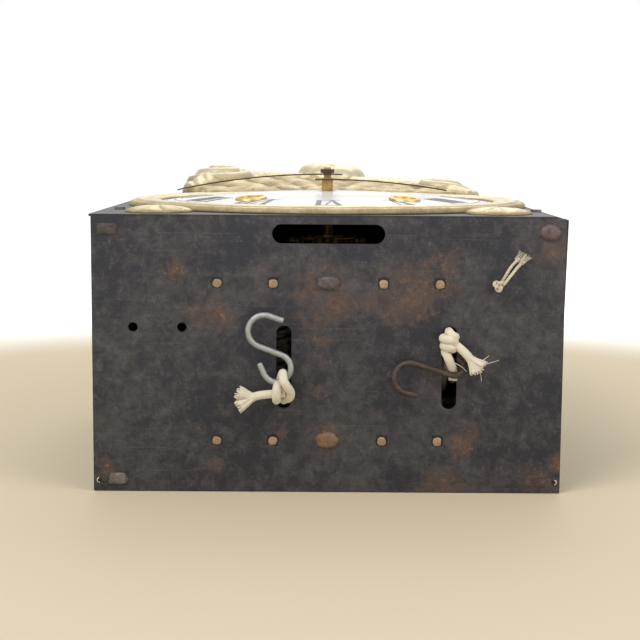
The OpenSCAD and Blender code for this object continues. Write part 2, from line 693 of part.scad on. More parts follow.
module going_great_wheel() great_wheel(going_drum_at);
module strike_great_wheel() great_wheel(strike_drum_at);
module going_click() click(going_drum_at);
module strike_click() click(strike_drum_at);
module going_drum() drum(going_drum_at);
module strike_drum() drum(strike_drum_at);
module going_winding_arbor() winding_arbor(going_drum_at);
module strike_winding_arbor() winding_arbor(strike_drum_at);
module going_cord_winding() cord_winding(going_drum_at);
module strike_cord_winding() cord_winding(strike_drum_at);

// Going train

module second_wheel() color(brass) {
    color(steel) arbor(second_at, great_z - mesh_over, great_t + 2 * mesh_over, transfer_z + wheel_t + 1);
    color(steel) pinion_by(going_drum_at, second_at, great_z, great_t, leaves, great_m);
    at(second_at, second_z) wheel(second_teeth, second_m, heading(second_at, third_at), wheel_t, arbor_r);
}
module transfer_wheel() color(brass)
    at(second_at, transfer_z)
        wheel(transfer_teeth, transfer_m, heading(second_at, hand_axis), wheel_t, pivot_r);
module third_wheel() color(brass) {
    color(steel) arbor(third_at, second_z - mesh_over, wheel_t + 2 * mesh_over);
    color(steel) pinion_by(second_at, third_at, second_z, wheel_t, leaves, second_m);
    at(third_at, third_z) wheel(third_teeth, third_m, heading(third_at, escape_at), wheel_t, arbor_r);
}
module escape_wheel() color(brass) {
    color(steel) arbor(escape_at, third_z - mesh_over, wheel_t + 2 * mesh_over, front_bar_top);
    color(steel) pinion_by(third_at, escape_at, third_z, wheel_t, leaves, third_m);
    at(escape_at, escape_z) linear_extrude(wheel_t) difference() {
        polygon([for (i = [0:escape_teeth - 1]) each let (p = 360 / escape_teeth, a = 90 + i * p)
            [polar(escape_r - 5, a - 0.3 * p), polar(escape_r, a), polar(escape_r, a + 0.06 * p),
             polar(escape_r - 5, a + 0.3 * p)]]);
        crossings(arbor_r + 3.5, escape_r - 8, 4);
        circle(r = (arbor_r + seat) / cos(15), $fn = 12);
    }
}

// Anchor over the escape wheel; its pallets stay clear of the teeth
pallet_span = 46.8;
anchor_at = escape_at + [0, escape_r / cos(pallet_span)];
pallet_clear = 1.2;
anchor_t = 4;
crutch_z = front_bar_top + 4;
function anchor_arm() = [
    anchor_at + [-3.4, 1.5], anchor_at + [-19.6, -8], escape_at + polar(escape_r + 4.4, 90 + pallet_span),
    escape_at + polar(escape_r + pallet_clear, 90 + pallet_span),
    escape_at + polar(escape_r + 4.6, 81 + pallet_span),
    anchor_at + [-6, -4.2], anchor_at + [0, -4.2], anchor_at + [0, 1.5]];
module anchor() color(steel) {
    at([0, 0], escape_z - 0.9) linear_extrude(anchor_t) difference() {
        union() {
            translate(anchor_at) circle(r = 4.5);
            polygon(anchor_arm());
            polygon(reversed([for (q = anchor_arm()) [-q.x, q.y]]));
        }
        translate(anchor_at) circle(r = pinion_bore + seat);
    }
    rod_z(anchor_at, bar_z_back - bar_t / 2, back_bar_top + clear, pivot_r);
    rod_z(anchor_at, back_bar_top + clear, front_bar_low - clear, pinion_bore);
    rod_z(anchor_at, front_bar_low - clear, crutch_z + 3, pivot_r);
}
crutch_l = 36;
crutch_off = -6;
module crutch() color(brass) {
    at(anchor_at, crutch_z) difference() {
        union() {
            cylinder(h = 3, r = 4);
            linear_extrude(2)
                polygon([[1.6, 0], [-1.6, 0], [crutch_off - 1.6, -crutch_l], [crutch_off + 1.6, -crutch_l]]);
            translate([crutch_off - 4, -crutch_l - 8, 0]) cube([8, 8, 3.6]);
        }
        translate([0, 0, -1]) cylinder(h = 6, r = pivot_r + seat);
    }
}

// Motion work between the front bars and the dial

stud_r = 1.6;
module minute_arbor() color(steel) {
    rod_z(hand_axis, bar_z_back - bar_t / 2, back_bar_top + clear, pivot_r);
    rod_z(hand_axis, back_bar_top + clear, minute_hand_z + 4.6, arbor_r);
    color(brass) at(hand_axis, transfer_z)
        wheel(transfer_teeth, transfer_m, heading(hand_axis, second_at) + 180 / transfer_teeth,
            wheel_t, arbor_r);
    at(hand_axis, cannon_z) pinion(cannon_leaves, motion_m, -90, 4, arbor_r);
}
module headed_stud(p, z0, under_head) {
    rod_z(p, z0, under_head, guide_r);
    rod_z(p, under_head, under_head + 0.8, guide_r + 1.4);
}
module front_studs() color(steel) {
    rod_z(motion_at, front_bar_low, hour_z + wheel_t + 2.4, stud_r);
    rod_z(lever_at, bar_z_front - bar_t / 2, lever_z + lever_t + 0.1, guide_r);
    for (y = rack_guides) headed_stud([rack_x - 4, y], bar_z_front - bar_t / 2, rack_z + rack_t + 0.2);
}
module intermediate_wheel() color(brass) {
    at(motion_at, cannon_z + 0.8)
        wheel(intermediate_teeth, motion_m, 90 + 180 / intermediate_teeth, wheel_t, stud_r + fit);
    color(steel) at(motion_at, cannon_z + 0.8 + wheel_t)
        pinion(leaves, motion_m, 90, hour_z + wheel_t + 1 - (cannon_z + 0.8 + wheel_t), stud_r + fit);
}
module hour_wheel() color(brass) {
    at(hand_axis, hour_z) wheel(hour_teeth, motion_m, -90 + 180 / hour_teeth, wheel_t, hour_pipe_r);
    at(hand_axis, hour_z) linear_extrude(hour_hand_z + hand_t + 0.4 - hour_z) difference() {
        circle(r = hour_pipe_r);
        circle(r = arbor_r + fit);
    }
    color(steel) at(hand_axis, snail_z) linear_extrude(1.4) difference() {
        polygon([for (k = [0:11]) each arc(16 - 0.7 * k, 90 + 30 * k, 120 + 30 * k, 3)]);
        circle(r = hour_pipe_r + seat);
    }
}

// Strike train

pin_ring_r = 30;
module pin_wheel() color(brass) {
    color(steel) arbor(pin_at, great_z - mesh_over, great_t + 2 * mesh_over);
    color(steel) pinion_by(strike_drum_at, pin_at, great_z, great_t, leaves, great_m);
    at(pin_at, second_z) wheel(second_teeth, pin_m, heading(pin_at, locking_at), wheel_t, arbor_r);
    color(steel) for (k = [0:hammer_pins - 1])
        rod_z(pin_at + polar(pin_ring_r, 90 + (k + 0.5) * 360 / hammer_pins), second_z - 4.5, second_z, 1.1);
}
gather_z = front_bar_top + 1.6;
module locking_wheel() color(brass) {
    color(steel) arbor(locking_at, second_z - mesh_over, wheel_t + 2 * mesh_over, gather_z + 3);
    color(steel) pinion_by(pin_at, locking_at, second_z, wheel_t, leaves, pin_m);
    at(locking_at, locking_z) wheel(third_teeth, locking_m, heading(locking_at, fly_at), wheel_t, arbor_r);
    color(steel) at(locking_at, gather_z) linear_extrude(2.4) difference() {
        union() {
            circle(r = 3);
            polygon([[-2, 1.6], [-7, 0.5], [-7, -0.5], [-2, -1.6]]);
        }
        circle(r = pivot_r + seat);
    }
}
fly_w = 30;
module fly() color(brass) {
    color(steel) arbor(fly_at, locking_z - mesh_over, wheel_t + 2 * mesh_over);
    color(steel) pinion_by(locking_at, fly_at, locking_z, wheel_t, leaves, locking_m);
    difference() {
        union() {
            box_at([fly_at.x, fly_at.y, 48], [fly_w, 0.8, 24]);
            rod_z(fly_at, 36, 60, arbor_r + 1);
        }
        rod_z(fly_at, 35, 61, arbor_r + seat);
    }
}

// Hammer: lifted by its tail, strikes the bell from inside
hammer_arm_x = -30;
hammer_head_y = top_y + bell_lift + 12;
hammer_tail_y = pin_at.y + pin_ring_r + 3;
module hammer() color(steel) {
    rod_z(hammer_at, bar_z_back - bar_t / 2, back_bar_top + clear, pivot_r);
    rod_z(hammer_at, back_bar_top + clear, front_bar_low - clear, arbor_r);
    rod_z(hammer_at, front_bar_low - clear, bar_z_front + bar_t / 2, pivot_r);
    at([0, 0], hammer_z - 2) linear_extrude(4) difference() {
        union() {
            translate(hammer_at) circle(r = 5);
            polygon([hammer_at + [-3, 0], hammer_at + [3, -3], [hammer_arm_x + 2, top_y - 20],
                     [hammer_arm_x + 2, hammer_head_y], [hammer_arm_x - 2, hammer_head_y],
                     [hammer_arm_x - 2, top_y - 18]]);
        }
        translate(hammer_at) circle(r = arbor_r + seat);
    }
    translate([hammer_arm_x - 4.5, hammer_head_y, hammer_z]) rotate([0, 90, 0]) cylinder(h = 12, r = 5);
    at([0, 0], second_z - 4.2) linear_extrude(3) difference() {
        union() {
            translate(hammer_at) circle(r = 4.5);
            polygon([hammer_at + [2.5, 0], hammer_at + [-2.5, 0], [hammer_at.x + 0.5, hammer_tail_y],
                     [hammer_at.x + 3.5, hammer_tail_y]]);
        }
        translate(hammer_at) circle(r = arbor_r + seat);
    }
}
// Leaf spring from the top plate, which bears on the side of the hammer's arm
spring_at = hammer_at + [-2.2, 8];
module hammer_spring() color(steel)
    at([0, 0], hammer_z - 4) linear_extrude(8)
        polygon([[hammer_at.x - 18.8, inner_y1], [hammer_at.x - 20, inner_y1], spring_at + [-1, 0], spring_at]);

// Rack of the strike, sliding on the front of the strike bars
rack_x = -44.5;
rack_z = front_bar_top + clear;
rack_t = 2.4;
rack_travel = 26;
rack_guides = [20, 30];
guide_r = 1.6;
module rack() color(steel)
    at([0, 0], rack_z) linear_extrude(rack_t) difference() {
        union() {
            polygon(reversed(concat([[rack_x - 8, -6], [rack_x - 8, 84], [rack_x, 84]],
                [for (k = [0:13]) each shifted([[0, 78], [5.2, 77], [5.2, 76.4], [0, 75.2]], [rack_x, -3 * k])],
                [[rack_x, -6]])));
            translate([rack_x - 2, 76]) square([42, 5]);
            translate([rack_x + 36, 60]) square([4, 18]);
        }
        slot2d([rack_x - 4, (rack_guides[0] + rack_guides[1] + rack_travel) / 2], 2 * (guide_r + fit),
            rack_guides[1] - rack_guides[0] + rack_travel + 2 * guide_r + 1);
    }

// Lever that the repeat cord pulls
lever_at = [train_x + 14, 6];
lever_z = bar_z_front + bar_t / 2 + 0.3;
lever_t = 1.5;
lug_t = 2.5;
module repeat_lever() color(steel) difference() {
    union() {
        at([0, 0], lever_z) linear_extrude(lever_t) {
            translate(lever_at) circle(r = 5);
            polygon([lever_at + [0, 3.5], lever_at + [0, -3.5], [repeat_at.x + 4, lever_at.y - 6],
                     [repeat_at.x + 4, lever_at.y + 1]]);
            polygon([[train_x - 20, 45], [train_x - 20, 40], lever_at + [-3, -3.5], lever_at + [0, 3.5]]);
        }
        translate([repeat_at.x - 4, lever_at.y - 6, repeat_at.y - 4])
            cube([8, lug_t, lever_z + lever_t - repeat_at.y + 4]);
    }
    rod_z(lever_at, lever_z - 1, lever_z + lever_t + 1, guide_r + fit);
    rod_y(repeat_at.x, repeat_at.y, lever_at.y - 20, lever_at.y + 20, repeat_cord_d / 2 + 1.2);
}

// Suspension for the pendulum, riveted to the top plate

suspension_z = cage_d - pendulum_slot_inset;
module suspension_cock() color(steel) {
    box_at([0, inner_y1 - 9, suspension_z], [10, 18, 4]);
}
module suspension_spring() color(steel) {
    box_at([0, inner_y1 - 30, suspension_z], [0.4, 24, 5]);
    color(brass) box_at([0, inner_y1 - 45, suspension_z], [4, 6, 6]);
}

// Bell

bell_mouth_y = top_y + bell_lift;
bell_crown_y = bell_mouth_y + bell_h;
module bell() color(bronze)
    translate([bell_at.x, bell_mouth_y, bell_at.y]) rotate([-90, 0, 0]) rotate_extrude() difference() {
        polygon(concat([[bell_post_r + fit, 0]], [[bell_r, 0], [bell_r, 4], [bell_r - 3, 12], [bell_r - 8, 24],
            [bell_r - 16, bell_h - 6], [bell_r - 26, bell_h]], [[bell_post_r + fit, bell_h]]));
        polygon([[0, -1], [bell_r - bell_wall, -1], [bell_r - bell_wall - 0.6, 4], [bell_r - 3 - bell_wall, 11],
            [bell_r - 8 - bell_wall, 23], [bell_r - 17 - bell_wall, bell_h - 7],
            [bell_r - 27, bell_h - bell_wall],
            [0, bell_h - bell_wall]]);
    }
module bell_post() color(steel) {
    rod_y(bell_at.x, bell_at.y, inner_y1, bell_crown_y + 8, bell_post_r);
    rod_y(bell_at.x, bell_at.y, top_y, top_y + 3, 6.5);
    rod_y(bell_at.x, bell_at.y, top_y + 3, bell_crown_y - bell_wall, bell_post_r + 1.2);
    rod_y(bell_at.x, bell_at.y, bell_crown_y, bell_crown_y + 4, 6);
    rod_y(bell_at.x, bell_at.y, inner_y1 - 3, inner_y1, 6);
}

// Hooks: two bends of wire joined by the line that crosses between them

function hook_path(r1, r2, gap, end1, end2) =
    let (lean = 180 + asin((r1 + r2) / gap))
    concat(arc(r1, end1, lean, 18), shifted(arc(r2, lean - 180, end2, 20), [0, -gap]));
module hook(r1, r2, gap, end1, end2, side = 1)
    tube([for (q = hook_path(r1, r2, gap, end1, end2)) [side * q.x, q.y, 0]], hook_wire, 12);
strike_hook_low = [-26.8, 68];
strike_hook_turn = 18.9;
strike_eye_r = 7.4;
going_eye_r = 4.6;
going_hook_low = [67, 69.2];
going_hook_turn = 104.4;
// A hook stands in the (x, z) plane, its second bend at the given place
module place_hook(low, turn, gap) translate([low.x, hook_y, low.y]) rotate([90, 0, 0]) rotate(turn)
    translate([0, gap, 0]) children();
module strike_hook() color("#a9a9a6") place_hook(strike_hook_low, strike_hook_turn, 20.7)
    hook(8.5, strike_eye_r, 20.7, 0, -223);
module going_hook() color("#5b5350") place_hook(going_hook_low, going_hook_turn, 24.6)
    hook(8.2, going_eye_r, 24.6, -16, -160, -1);

// Cords: the stretch from the drum through its slot, the knot with its loop, and the end

strike_loop_angle = -69;
strike_wire_at = strike_hook_low + polar(strike_eye_r, strike_loop_angle);
strike_knot_at = strike_hook_low + polar(strike_eye_r + loop_r + 4, strike_loop_angle);
going_loop_angle = -100;
going_wire_at = going_hook_low + polar(going_eye_r, going_loop_angle);
going_knot_at = [64.4, 81];
knot_r = 4.4;
function as3(p, y) = [p.x, y, p.y];
strike_route = [[strike_cord_x, drum_y - cord_d, cord_z0], [strike_cord_x, drum_y - 20, cord_z0],
    [strike_cord_x, drum_y - 40, cord_z0 + 0.4], [strike_cord_x, seat_y + 12, cord_z0 + 1],
    [strike_cord_x, seat_y + 2, cord_z0 + 1.6], as3([strike_cord_x + 0.6, strike_knot_at.y - 1], hook_y + 4)];
going_route = [[going_cord_x, drum_y - cord_d, cord_z0], [going_cord_x, drum_y - 18, cord_z0],
    [going_cord_x - 0.6, drum_y - 34, cord_z0 + 4], [going_cord_x - 0.8, drum_y - 50, cord_z0 + 14],
    [going_cord_x - 0.4, seat_y + 8, cord_z0 + 26], [going_cord_x, seat_y + 1, cord_z0 + 32],
    as3([going_knot_at.x, going_knot_at.y + 0.5], hook_y + 3)];
module knot(at2) {
    translate(as3(at2, hook_y)) sphere(r = knot_r, $fn = 32);
    translate(as3(at2, hook_y)) rotate([20, 0, 35])
        rotate_extrude($fn = 32) translate([knot_r - 1.4, 0]) circle(r = cord_r, $fn = 24);
}
module loop_ring(wire_at, angle) translate(as3(wire_at, hook_y)) rotate([0, -angle, 0])
    rotate_extrude($fn = 48) translate([loop_r, 0]) circle(r = cord_r, $fn = 24);
going_strand = [[[64.4, 80], 1.6], [[65, 75.5], 3.8], [[65.8, 71], loop_r], [[66, 68], loop_r]];
going_loop = concat(
    [for (q = going_strand) as3(q[0], hook_y - q[1])],
    [for (a = [180:20:360]) as3(going_wire_at, hook_y) + loop_r * [0, cos(a), sin(a)]],
    [for (q = reversed(going_strand)) as3(q[0], hook_y + q[1])]);
module strike_cord() color(cotton) tube(strike_route, cord_d - 0.05);
module going_cord() color(cotton) tube(going_route, cord_d - 0.05);
module strike_cord_knot() color(cotton) {
    loop_ring(strike_wire_at, strike_loop_angle);
    knot(strike_knot_at);
}
module going_cord_knot() color(cotton) {
    tube(going_loop, cord_d, 8, [1, 0, 0]);
    knot(going_knot_at);
}
module strike_cord_tail() color(cotton) tube([
    as3(strike_knot_at + [-6, 0.4], hook_y - 1), as3(strike_knot_at + [-12, -0.6], hook_y - 0.6),
    as3(strike_knot_at + [-19, -2], hook_y)], cord_d);
module going_cord_tail() color(cotton) tube([
    as3(going_knot_at + [2, -1], hook_y - 2), as3(going_knot_at + [9, -5], hook_y - 4),
    as3(going_knot_at + [16, -14], hook_y - 3.4)], cord_d);
lug_top = lever_at.y - 6 + lug_t;
repeat_route = [[repeat_at.x, lug_top, repeat_at.y], [repeat_at.x, lug_top - 30, repeat_at.y],
    [repeat_at.x, seat_y + 20, repeat_at.y], [repeat_at.x, seat_y, repeat_at.y]];
module repeat_cord() color(cotton) {
    tube(repeat_route, repeat_cord_d);
    rod_y(repeat_at.x, repeat_at.y, lug_top + 0.02, lug_top + 3, repeat_cord_d / 2 + 1.85);
}
// The repeat cord's knot rests on the plate around its hole; two strands stand out of it
repeat_knot = [[0.02, 3.1], [1.4, 3.6], [3.6, 3.5], [5.6, 2.4], [6.4, 1]];
module repeat_cord_knot() color(cotton) {
    tube([for (q = repeat_knot) [repeat_at.x, seat_y - q[0], repeat_at.y]],
        2 * [for (q = repeat_knot) q[1]], 12);
    for (s = [0, 1]) tube([[repeat_at.x + 2.6 + s, seat_y - 2.4 - 1.4 * s, repeat_at.y + 3.4 - 1.4 * s],
        [repeat_at.x + 7 + s, seat_y - 2.6 - 2 * s, repeat_at.y + 9 - 2 * s],
        [repeat_at.x + 11 + 2 * s, seat_y - 2.8 - 2 * s, repeat_at.y + 15 - s]], 1.5, 8, [0, 1, 0]);
}

seat_plate();
top_plate();
corner_posts();
centre_bars();
going_bars();
strike_bars();
bar_wedges();
back_cover();
case_screws();
dial_plate();
dial_surround();
enamel_dial();
winding_hole_rims();
bell_post();
bell();
suspension_cock();
suspension_spring();
front_studs();
hammer_spring();
strike_cord();
strike_cord_knot();
strike_cord_tail();
going_cord();
going_cord_knot();
going_cord_tail();
repeat_cord();
repeat_cord_knot();
going_great_wheel();
going_click();
going_drum();
going_winding_arbor();
going_cord_winding();
second_wheel();
transfer_wheel();
third_wheel();
escape_wheel();
anchor();
crutch();
minute_arbor();
minute_hand();
hand_nut();
intermediate_wheel();
hour_wheel();
hour_hand();
strike_great_wheel();
strike_click();
strike_drum();
strike_winding_arbor();
strike_cord_winding();
pin_wheel();
locking_wheel();
fly();
hammer();
rack();
repeat_lever();
left_door();
right_door();
going_hook();
strike_hook();
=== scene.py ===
import random
from math import asin, cos, degrees, hypot, pi, radians, sin, sqrt, tan, tau

import bpy
import numpy as np
from mathutils import Matrix, Vector


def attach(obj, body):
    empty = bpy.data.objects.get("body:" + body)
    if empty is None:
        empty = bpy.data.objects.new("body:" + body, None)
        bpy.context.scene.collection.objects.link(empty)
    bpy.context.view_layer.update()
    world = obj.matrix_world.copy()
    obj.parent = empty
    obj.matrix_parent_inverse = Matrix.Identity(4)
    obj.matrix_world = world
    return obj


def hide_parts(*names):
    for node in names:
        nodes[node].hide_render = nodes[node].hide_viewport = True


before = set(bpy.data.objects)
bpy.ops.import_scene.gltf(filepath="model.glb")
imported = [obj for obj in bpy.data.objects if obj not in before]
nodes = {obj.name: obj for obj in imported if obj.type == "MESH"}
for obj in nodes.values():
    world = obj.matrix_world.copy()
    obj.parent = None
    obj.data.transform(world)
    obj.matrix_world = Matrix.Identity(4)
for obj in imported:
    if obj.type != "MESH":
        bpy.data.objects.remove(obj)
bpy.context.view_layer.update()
scene = bpy.context.scene
scene.view_settings.view_transform = "Standard"
plateFront = -125  # front of the seat plate, mm
print("frame loaded:", len(nodes), "nodes")


def mm(*v):
    return Vector(v) / 1000


# Camera, where the photograph was taken from
camera = {"at": (-6.4, -866.7, 185.8), "yaw": -0.165, "pitch": -7.143, "roll": -0.397, "lens": 79.47,
          "sensor": 36, "clip": (0.02, 30)}


def makeCamera(c):
    data = bpy.data.cameras.new("camera")
    data.sensor_width, data.lens = c["sensor"], c["lens"]
    data.clip_start, data.clip_end = c["clip"]
    obj = bpy.data.objects.new("camera", data)
    scene.collection.objects.link(obj)
    yaw, pitch, roll = (Matrix.Rotation(radians(c[key]), 3, axis)
                        for key, axis in (("yaw", "Z"), ("pitch", "X"), ("roll", "Y")))
    turn = yaw @ pitch @ roll
    right, ahead, up = turn.col[0], turn.col[1], turn.col[2]
    basis = Matrix((right, up, -ahead)).transposed().to_4x4()
    basis.translation = mm(*c["at"])
    obj.matrix_world = basis
    scene.camera = obj


makeCamera(camera)


# Shader helpers; each input is either linked to a socket or given a value
def feed(node, values):
    for key, value in values.items():
        if isinstance(value, bpy.types.NodeSocket):
            node.id_data.links.new(value, node.inputs[key])
        else:
            node.inputs[key].default_value = value


# A node in the tree of the sockets that feed it, or in the one given
def addNode(kind, values, tree=None, **props):
    tree = tree or next(v.id_data for v in values.values() if isinstance(v, bpy.types.NodeSocket))
    node = tree.nodes.new("ShaderNode" + kind)
    for key, value in props.items():
        setattr(node, key, value)
    feed(node, values)
    return node


# A material, its shader and the object's own coordinates
def newMaterial(name):
    mat = bpy.data.materials.new(name)
    mat.use_nodes = True
    where = addNode("TexCoord", {}, mat.node_tree).outputs["Object"]
    return mat, mat.node_tree.nodes["Principled BSDF"], where


def colour(r, g, b):
    return (r, g, b, 1)


def newGroup(name, colours, numbers):
    tree = bpy.data.node_groups.new(name, "ShaderNodeTree")
    sockets = [("INPUT", "Vector", "Vector")]
    sockets += [("INPUT", "Color", label) for label in colours.split()]
    sockets += [("INPUT", "Float", label) for label in numbers.split()]
    sockets += [("OUTPUT", "Color", "Color"), ("OUTPUT", "Float", "Roughness"), ("OUTPUT", "Float", "Height")]
    for way, kind, label in sockets:
        tree.interface.new_socket(label, in_out=way, socket_type="NodeSocket" + kind)
    return tree, tree.nodes.new("NodeGroupInput").outputs, tree.nodes.new("NodeGroupOutput")


def ramp(fac, stops):
    node = addNode("ValToRGB", {"Fac": fac})
    elements = node.color_ramp.elements
    elements.remove(elements[1])
    elements[0].position, elements[0].color = stops[0]
    for pos, col in stops[1:]:
        elements.new(pos).color = col
    return node.outputs["Color"]


def greyRamp(fac, low, high, first=0, last=1):
    return ramp(fac, [(low, colour(first, first, first)), (high, colour(last, last, last))])


def mixColour(fac, a, b):
    return addNode("Mix", {"Factor": fac, "A": a, "B": b}, data_type="RGBA").outputs["Result"]


def maths(op, a, b, clamp=False):
    return addNode("Math", {0: a, 1: b}, operation=op, use_clamp=clamp).outputs[0]


def times(a, b, clamp=False):
    return maths("MULTIPLY", a, b, clamp)


def plus(a, b):
    return maths("ADD", a, b)


def less(a, b):
    return maths("SUBTRACT", a, b)


def bump(height, distance, strength):
    return addNode("Bump", {"Strength": strength, "Distance": distance, "Height": height}).outputs["Normal"]


def softNoise(vector, scale, detail, rough, distort=0.0):
    return addNode("TexNoise", {"Vector": vector, "Scale": scale, "Detail": detail, "Roughness": rough,
                                "Distortion": distort}).outputs["Fac"]


# Corroded metal: mottled dark skin, rust in patches with brighter flecks, pits, pale rubs and scratches
def makeCorrosion():
    tree, given, out = newGroup("corrosion", "Skin Bloom Rust Fleck", "Patch Amount Extra Scratch")
    where = given["Vector"]
    patch = softNoise(where, given["Patch"], 12, 0.7, 0.4)
    cloud = softNoise(where, 30, 9, 0.66)
    mottle = softNoise(where, 150, 9, 0.74, 0.4)
    fine = softNoise(where, 420, 6, 0.65)
    grit = softNoise(where, 1100, 3, 0.6)
    # where the rust breaks through
    level = plus(patch, given["Extra"])
    level = plus(level, times(less(fine, 0.5), 0.4))
    low = less(0.86, times(given["Amount"], 0.5))
    mask = addNode("MapRange", {
        "Value": level, "From Min": low, "From Max": plus(low, 0.22), "To Min": 0, "To Max": 1}).outputs["Result"]
    # skin with its rubs and scratches
    tone = plus(times(cloud, 0.45), times(mottle, 0.55))
    skin = mixColour(greyRamp(tone, 0.44, 0.6), given["Skin"], given["Bloom"])
    rub = greyRamp(plus(times(grit, 0.6), times(mottle, 0.4)), 0.56, 0.66)
    rubbed = mixColour(0.5, given["Bloom"], colour(0.2, 0.19, 0.19))
    skin = mixColour(times(rub, 0.5), skin, rubbed)
    drawn = addNode("VectorMath", {0: where, 1: (14, 420, 800)}, operation="MULTIPLY").outputs["Vector"]
    line = greyRamp(softNoise(drawn, 1.0, 2, 0.5), 0.66, 0.72)
    line = times(line, given["Scratch"])
    skin = mixColour(line, skin, colour(0.2, 0.19, 0.18))
    # rust with its flecks
    dark = mixColour(0.6, given["Rust"], colour(0.03, 0.022, 0.02))
    deep = mixColour(greyRamp(fine, 0.38, 0.62), given["Rust"], dark)
    bright = greyRamp(softNoise(where, 240, 5, 0.6), 0.56, 0.68)
    deep = mixColour(bright, deep, given["Fleck"])
    rough = plus(times(mask, 0.28), plus(0.36, times(mottle, 0.3)))
    pit = greyRamp(fine, 0.3, 0.55)
    high = plus(times(pit, 0.5), times(mask, 0.5))
    high = plus(high, times(grit, 0.25))
    feed(out, {"Color": mixColour(times(mask, 0.88), skin, deep), "Roughness": rough,
               "Height": less(high, times(line, 0.3))})
    return tree


# Old brass: bright where it is rubbed, brown where it isn't
def makePatina():
    tree, given, out = newGroup("patina", "Metal Tarnish", "Amount Polish")
    where = given["Vector"]
    cloud = softNoise(where, 60, 8, 0.65, 0.3)
    spot = softNoise(where, 520, 5, 0.6)
    both = plus(times(cloud, 0.7), times(spot, 0.3))
    mask = times(greyRamp(both, 0.38, 0.66), given["Amount"], True)
    rough = plus(given["Polish"], times(mask, 0.3))
    feed(out, {"Color": mixColour(mask, given["Metal"], given["Tarnish"]),
               "Roughness": plus(rough, times(spot, 0.08)), "Height": both})
    return tree


corrosion = makeCorrosion()
patina = makePatina()


# A metal whose colour, roughness and height come from one of the two groups
def metalOf(name, group, values, distance, strength, others):
    mat, shader, where = newMaterial(name)
    made = addNode("Group", {"Vector": where, **values}, node_tree=group)
    feed(shader, {"Base Color": made.outputs["Color"], "Roughness": made.outputs["Roughness"],
                  "Normal": bump(made.outputs["Height"], distance, strength), **others})
    return mat, where, made


def corroded(name, skin, bloom, rust, patchSize, amount, metal, distance, spots=(), scratch=0.0):
    fleck = (min(1, rust[0] * 2.0), rust[1] * 1.55, rust[2])
    mat, where, made = metalOf(name, corrosion, {
        "Skin": colour(*skin), "Bloom": colour(*bloom), "Rust": colour(*rust), "Fleck": colour(*fleck),
        "Patch": patchSize, "Amount": amount, "Scratch": scratch}, distance, 0.6,
        {"Metallic": metal, "Specular IOR Level": 0.4})
    total = 0.0
    for x, z, radius, gain in spots:
        far = addNode("VectorMath", {0: where, 1: mm(x, plateFront, z)}, operation="DISTANCE").outputs["Value"]
        near = addNode("MapRange", {"Value": far, "From Min": radius / 1000, "From Max": 0.0, "To Min": 0.0,
                                    "To Max": gain}).outputs["Result"]
        total = maths("MAXIMUM", total, near)
    feed(made, {"Extra": total})
    return mat


def tarnished(name, metal, tarnish, amount, polish, distance=0.00008):
    values = {"Metal": colour(*metal), "Tarnish": colour(*tarnish), "Amount": amount, "Polish": polish}
    return metalOf(name, patina, values, distance, 0.4, {"Metallic": 1.0})[0]


seatRust = [  # across, up, reach, strength
    (-6, 110, 20, 0.30), (4, 98, 28, 0.32), (24, 104, 24, 0.27), (46, 106, 26, 0.32), (62, 110, 18, 0.32),
    (66, 122, 20, 0.22), (84, 98, 14, 0.24), (-82, 118, 14, 0.32), (-56, 94, 16, 0.41), (-70, 99, 14, 0.27),
    (0, 28, 14, 0.41), (73, 28, 17, 0.41), (-26, 31, 12, 0.30), (-4, 52, 14, 0.22), (-2, 64, 22, 0.16),
    (-116, 138, 10, 0.27), (116, 130, 17, 0.35), (114, 6, 14, 0.41), (123, 16, 9, 0.49), (-116, 12, 11, 0.41),
    (-62, 15, 12, 0.24), (90, 131, 22, 0.16), (44, 36, 18, 0.19), (60, 0, 30, 0.22), (100, 54, 16, 0.16),
]
irons = {  # skin, bloom, rust, patch size, amount of rust, metallic, bump; then spots and scratches
    "seatIron": ((0.019, 0.0195, 0.025), (0.066, 0.058, 0.058), (0.15, 0.092, 0.066), 50, 0.42, 0.15, 0.0004,
                 seatRust, 0.1),
    "sheetIron": ((0.022, 0.02, 0.021), (0.05, 0.042, 0.04), (0.16, 0.06, 0.026), 22, 0.4, 0.3, 0.00025),
    "forgedIron": ((0.06, 0.045, 0.038), (0.11, 0.075, 0.055), (0.24, 0.095, 0.042), 60, 0.62, 0.35, 0.0003),
    "darkSteel": ((0.16, 0.15, 0.14), (0.26, 0.25, 0.24), (0.2, 0.09, 0.04), 90, 0.3, 0.85, 0.00008),
    "handSteel": ((0.07, 0.045, 0.03), (0.12, 0.075, 0.04), (0.2, 0.09, 0.04), 120, 0.35, 0.7, 0.00005),
    "brownWire": ((0.05, 0.036, 0.03), (0.09, 0.065, 0.052), (0.16, 0.07, 0.035), 160, 0.35, 0.5, 0.0001),
    "brightWire": ((0.3, 0.3, 0.29), (0.42, 0.42, 0.41), (0.17, 0.14, 0.11), 200, 0.18, 0.75, 0.00006),
}
brasses = {  # metal, tarnish, amount, polish
    "wheelBrass": ((0.52, 0.36, 0.13), (0.19, 0.115, 0.045), 0.7, 0.34),
    "rimBrass": ((0.62, 0.44, 0.17), (0.24, 0.15, 0.06), 0.5, 0.28),
    "bellMetal": ((0.4, 0.27, 0.11), (0.13, 0.08, 0.035), 0.8, 0.36),
}
metals = {name: corroded(name, *row) for name, row in irons.items()}
metals.update({name: tarnished(name, *row) for name, row in brasses.items()})

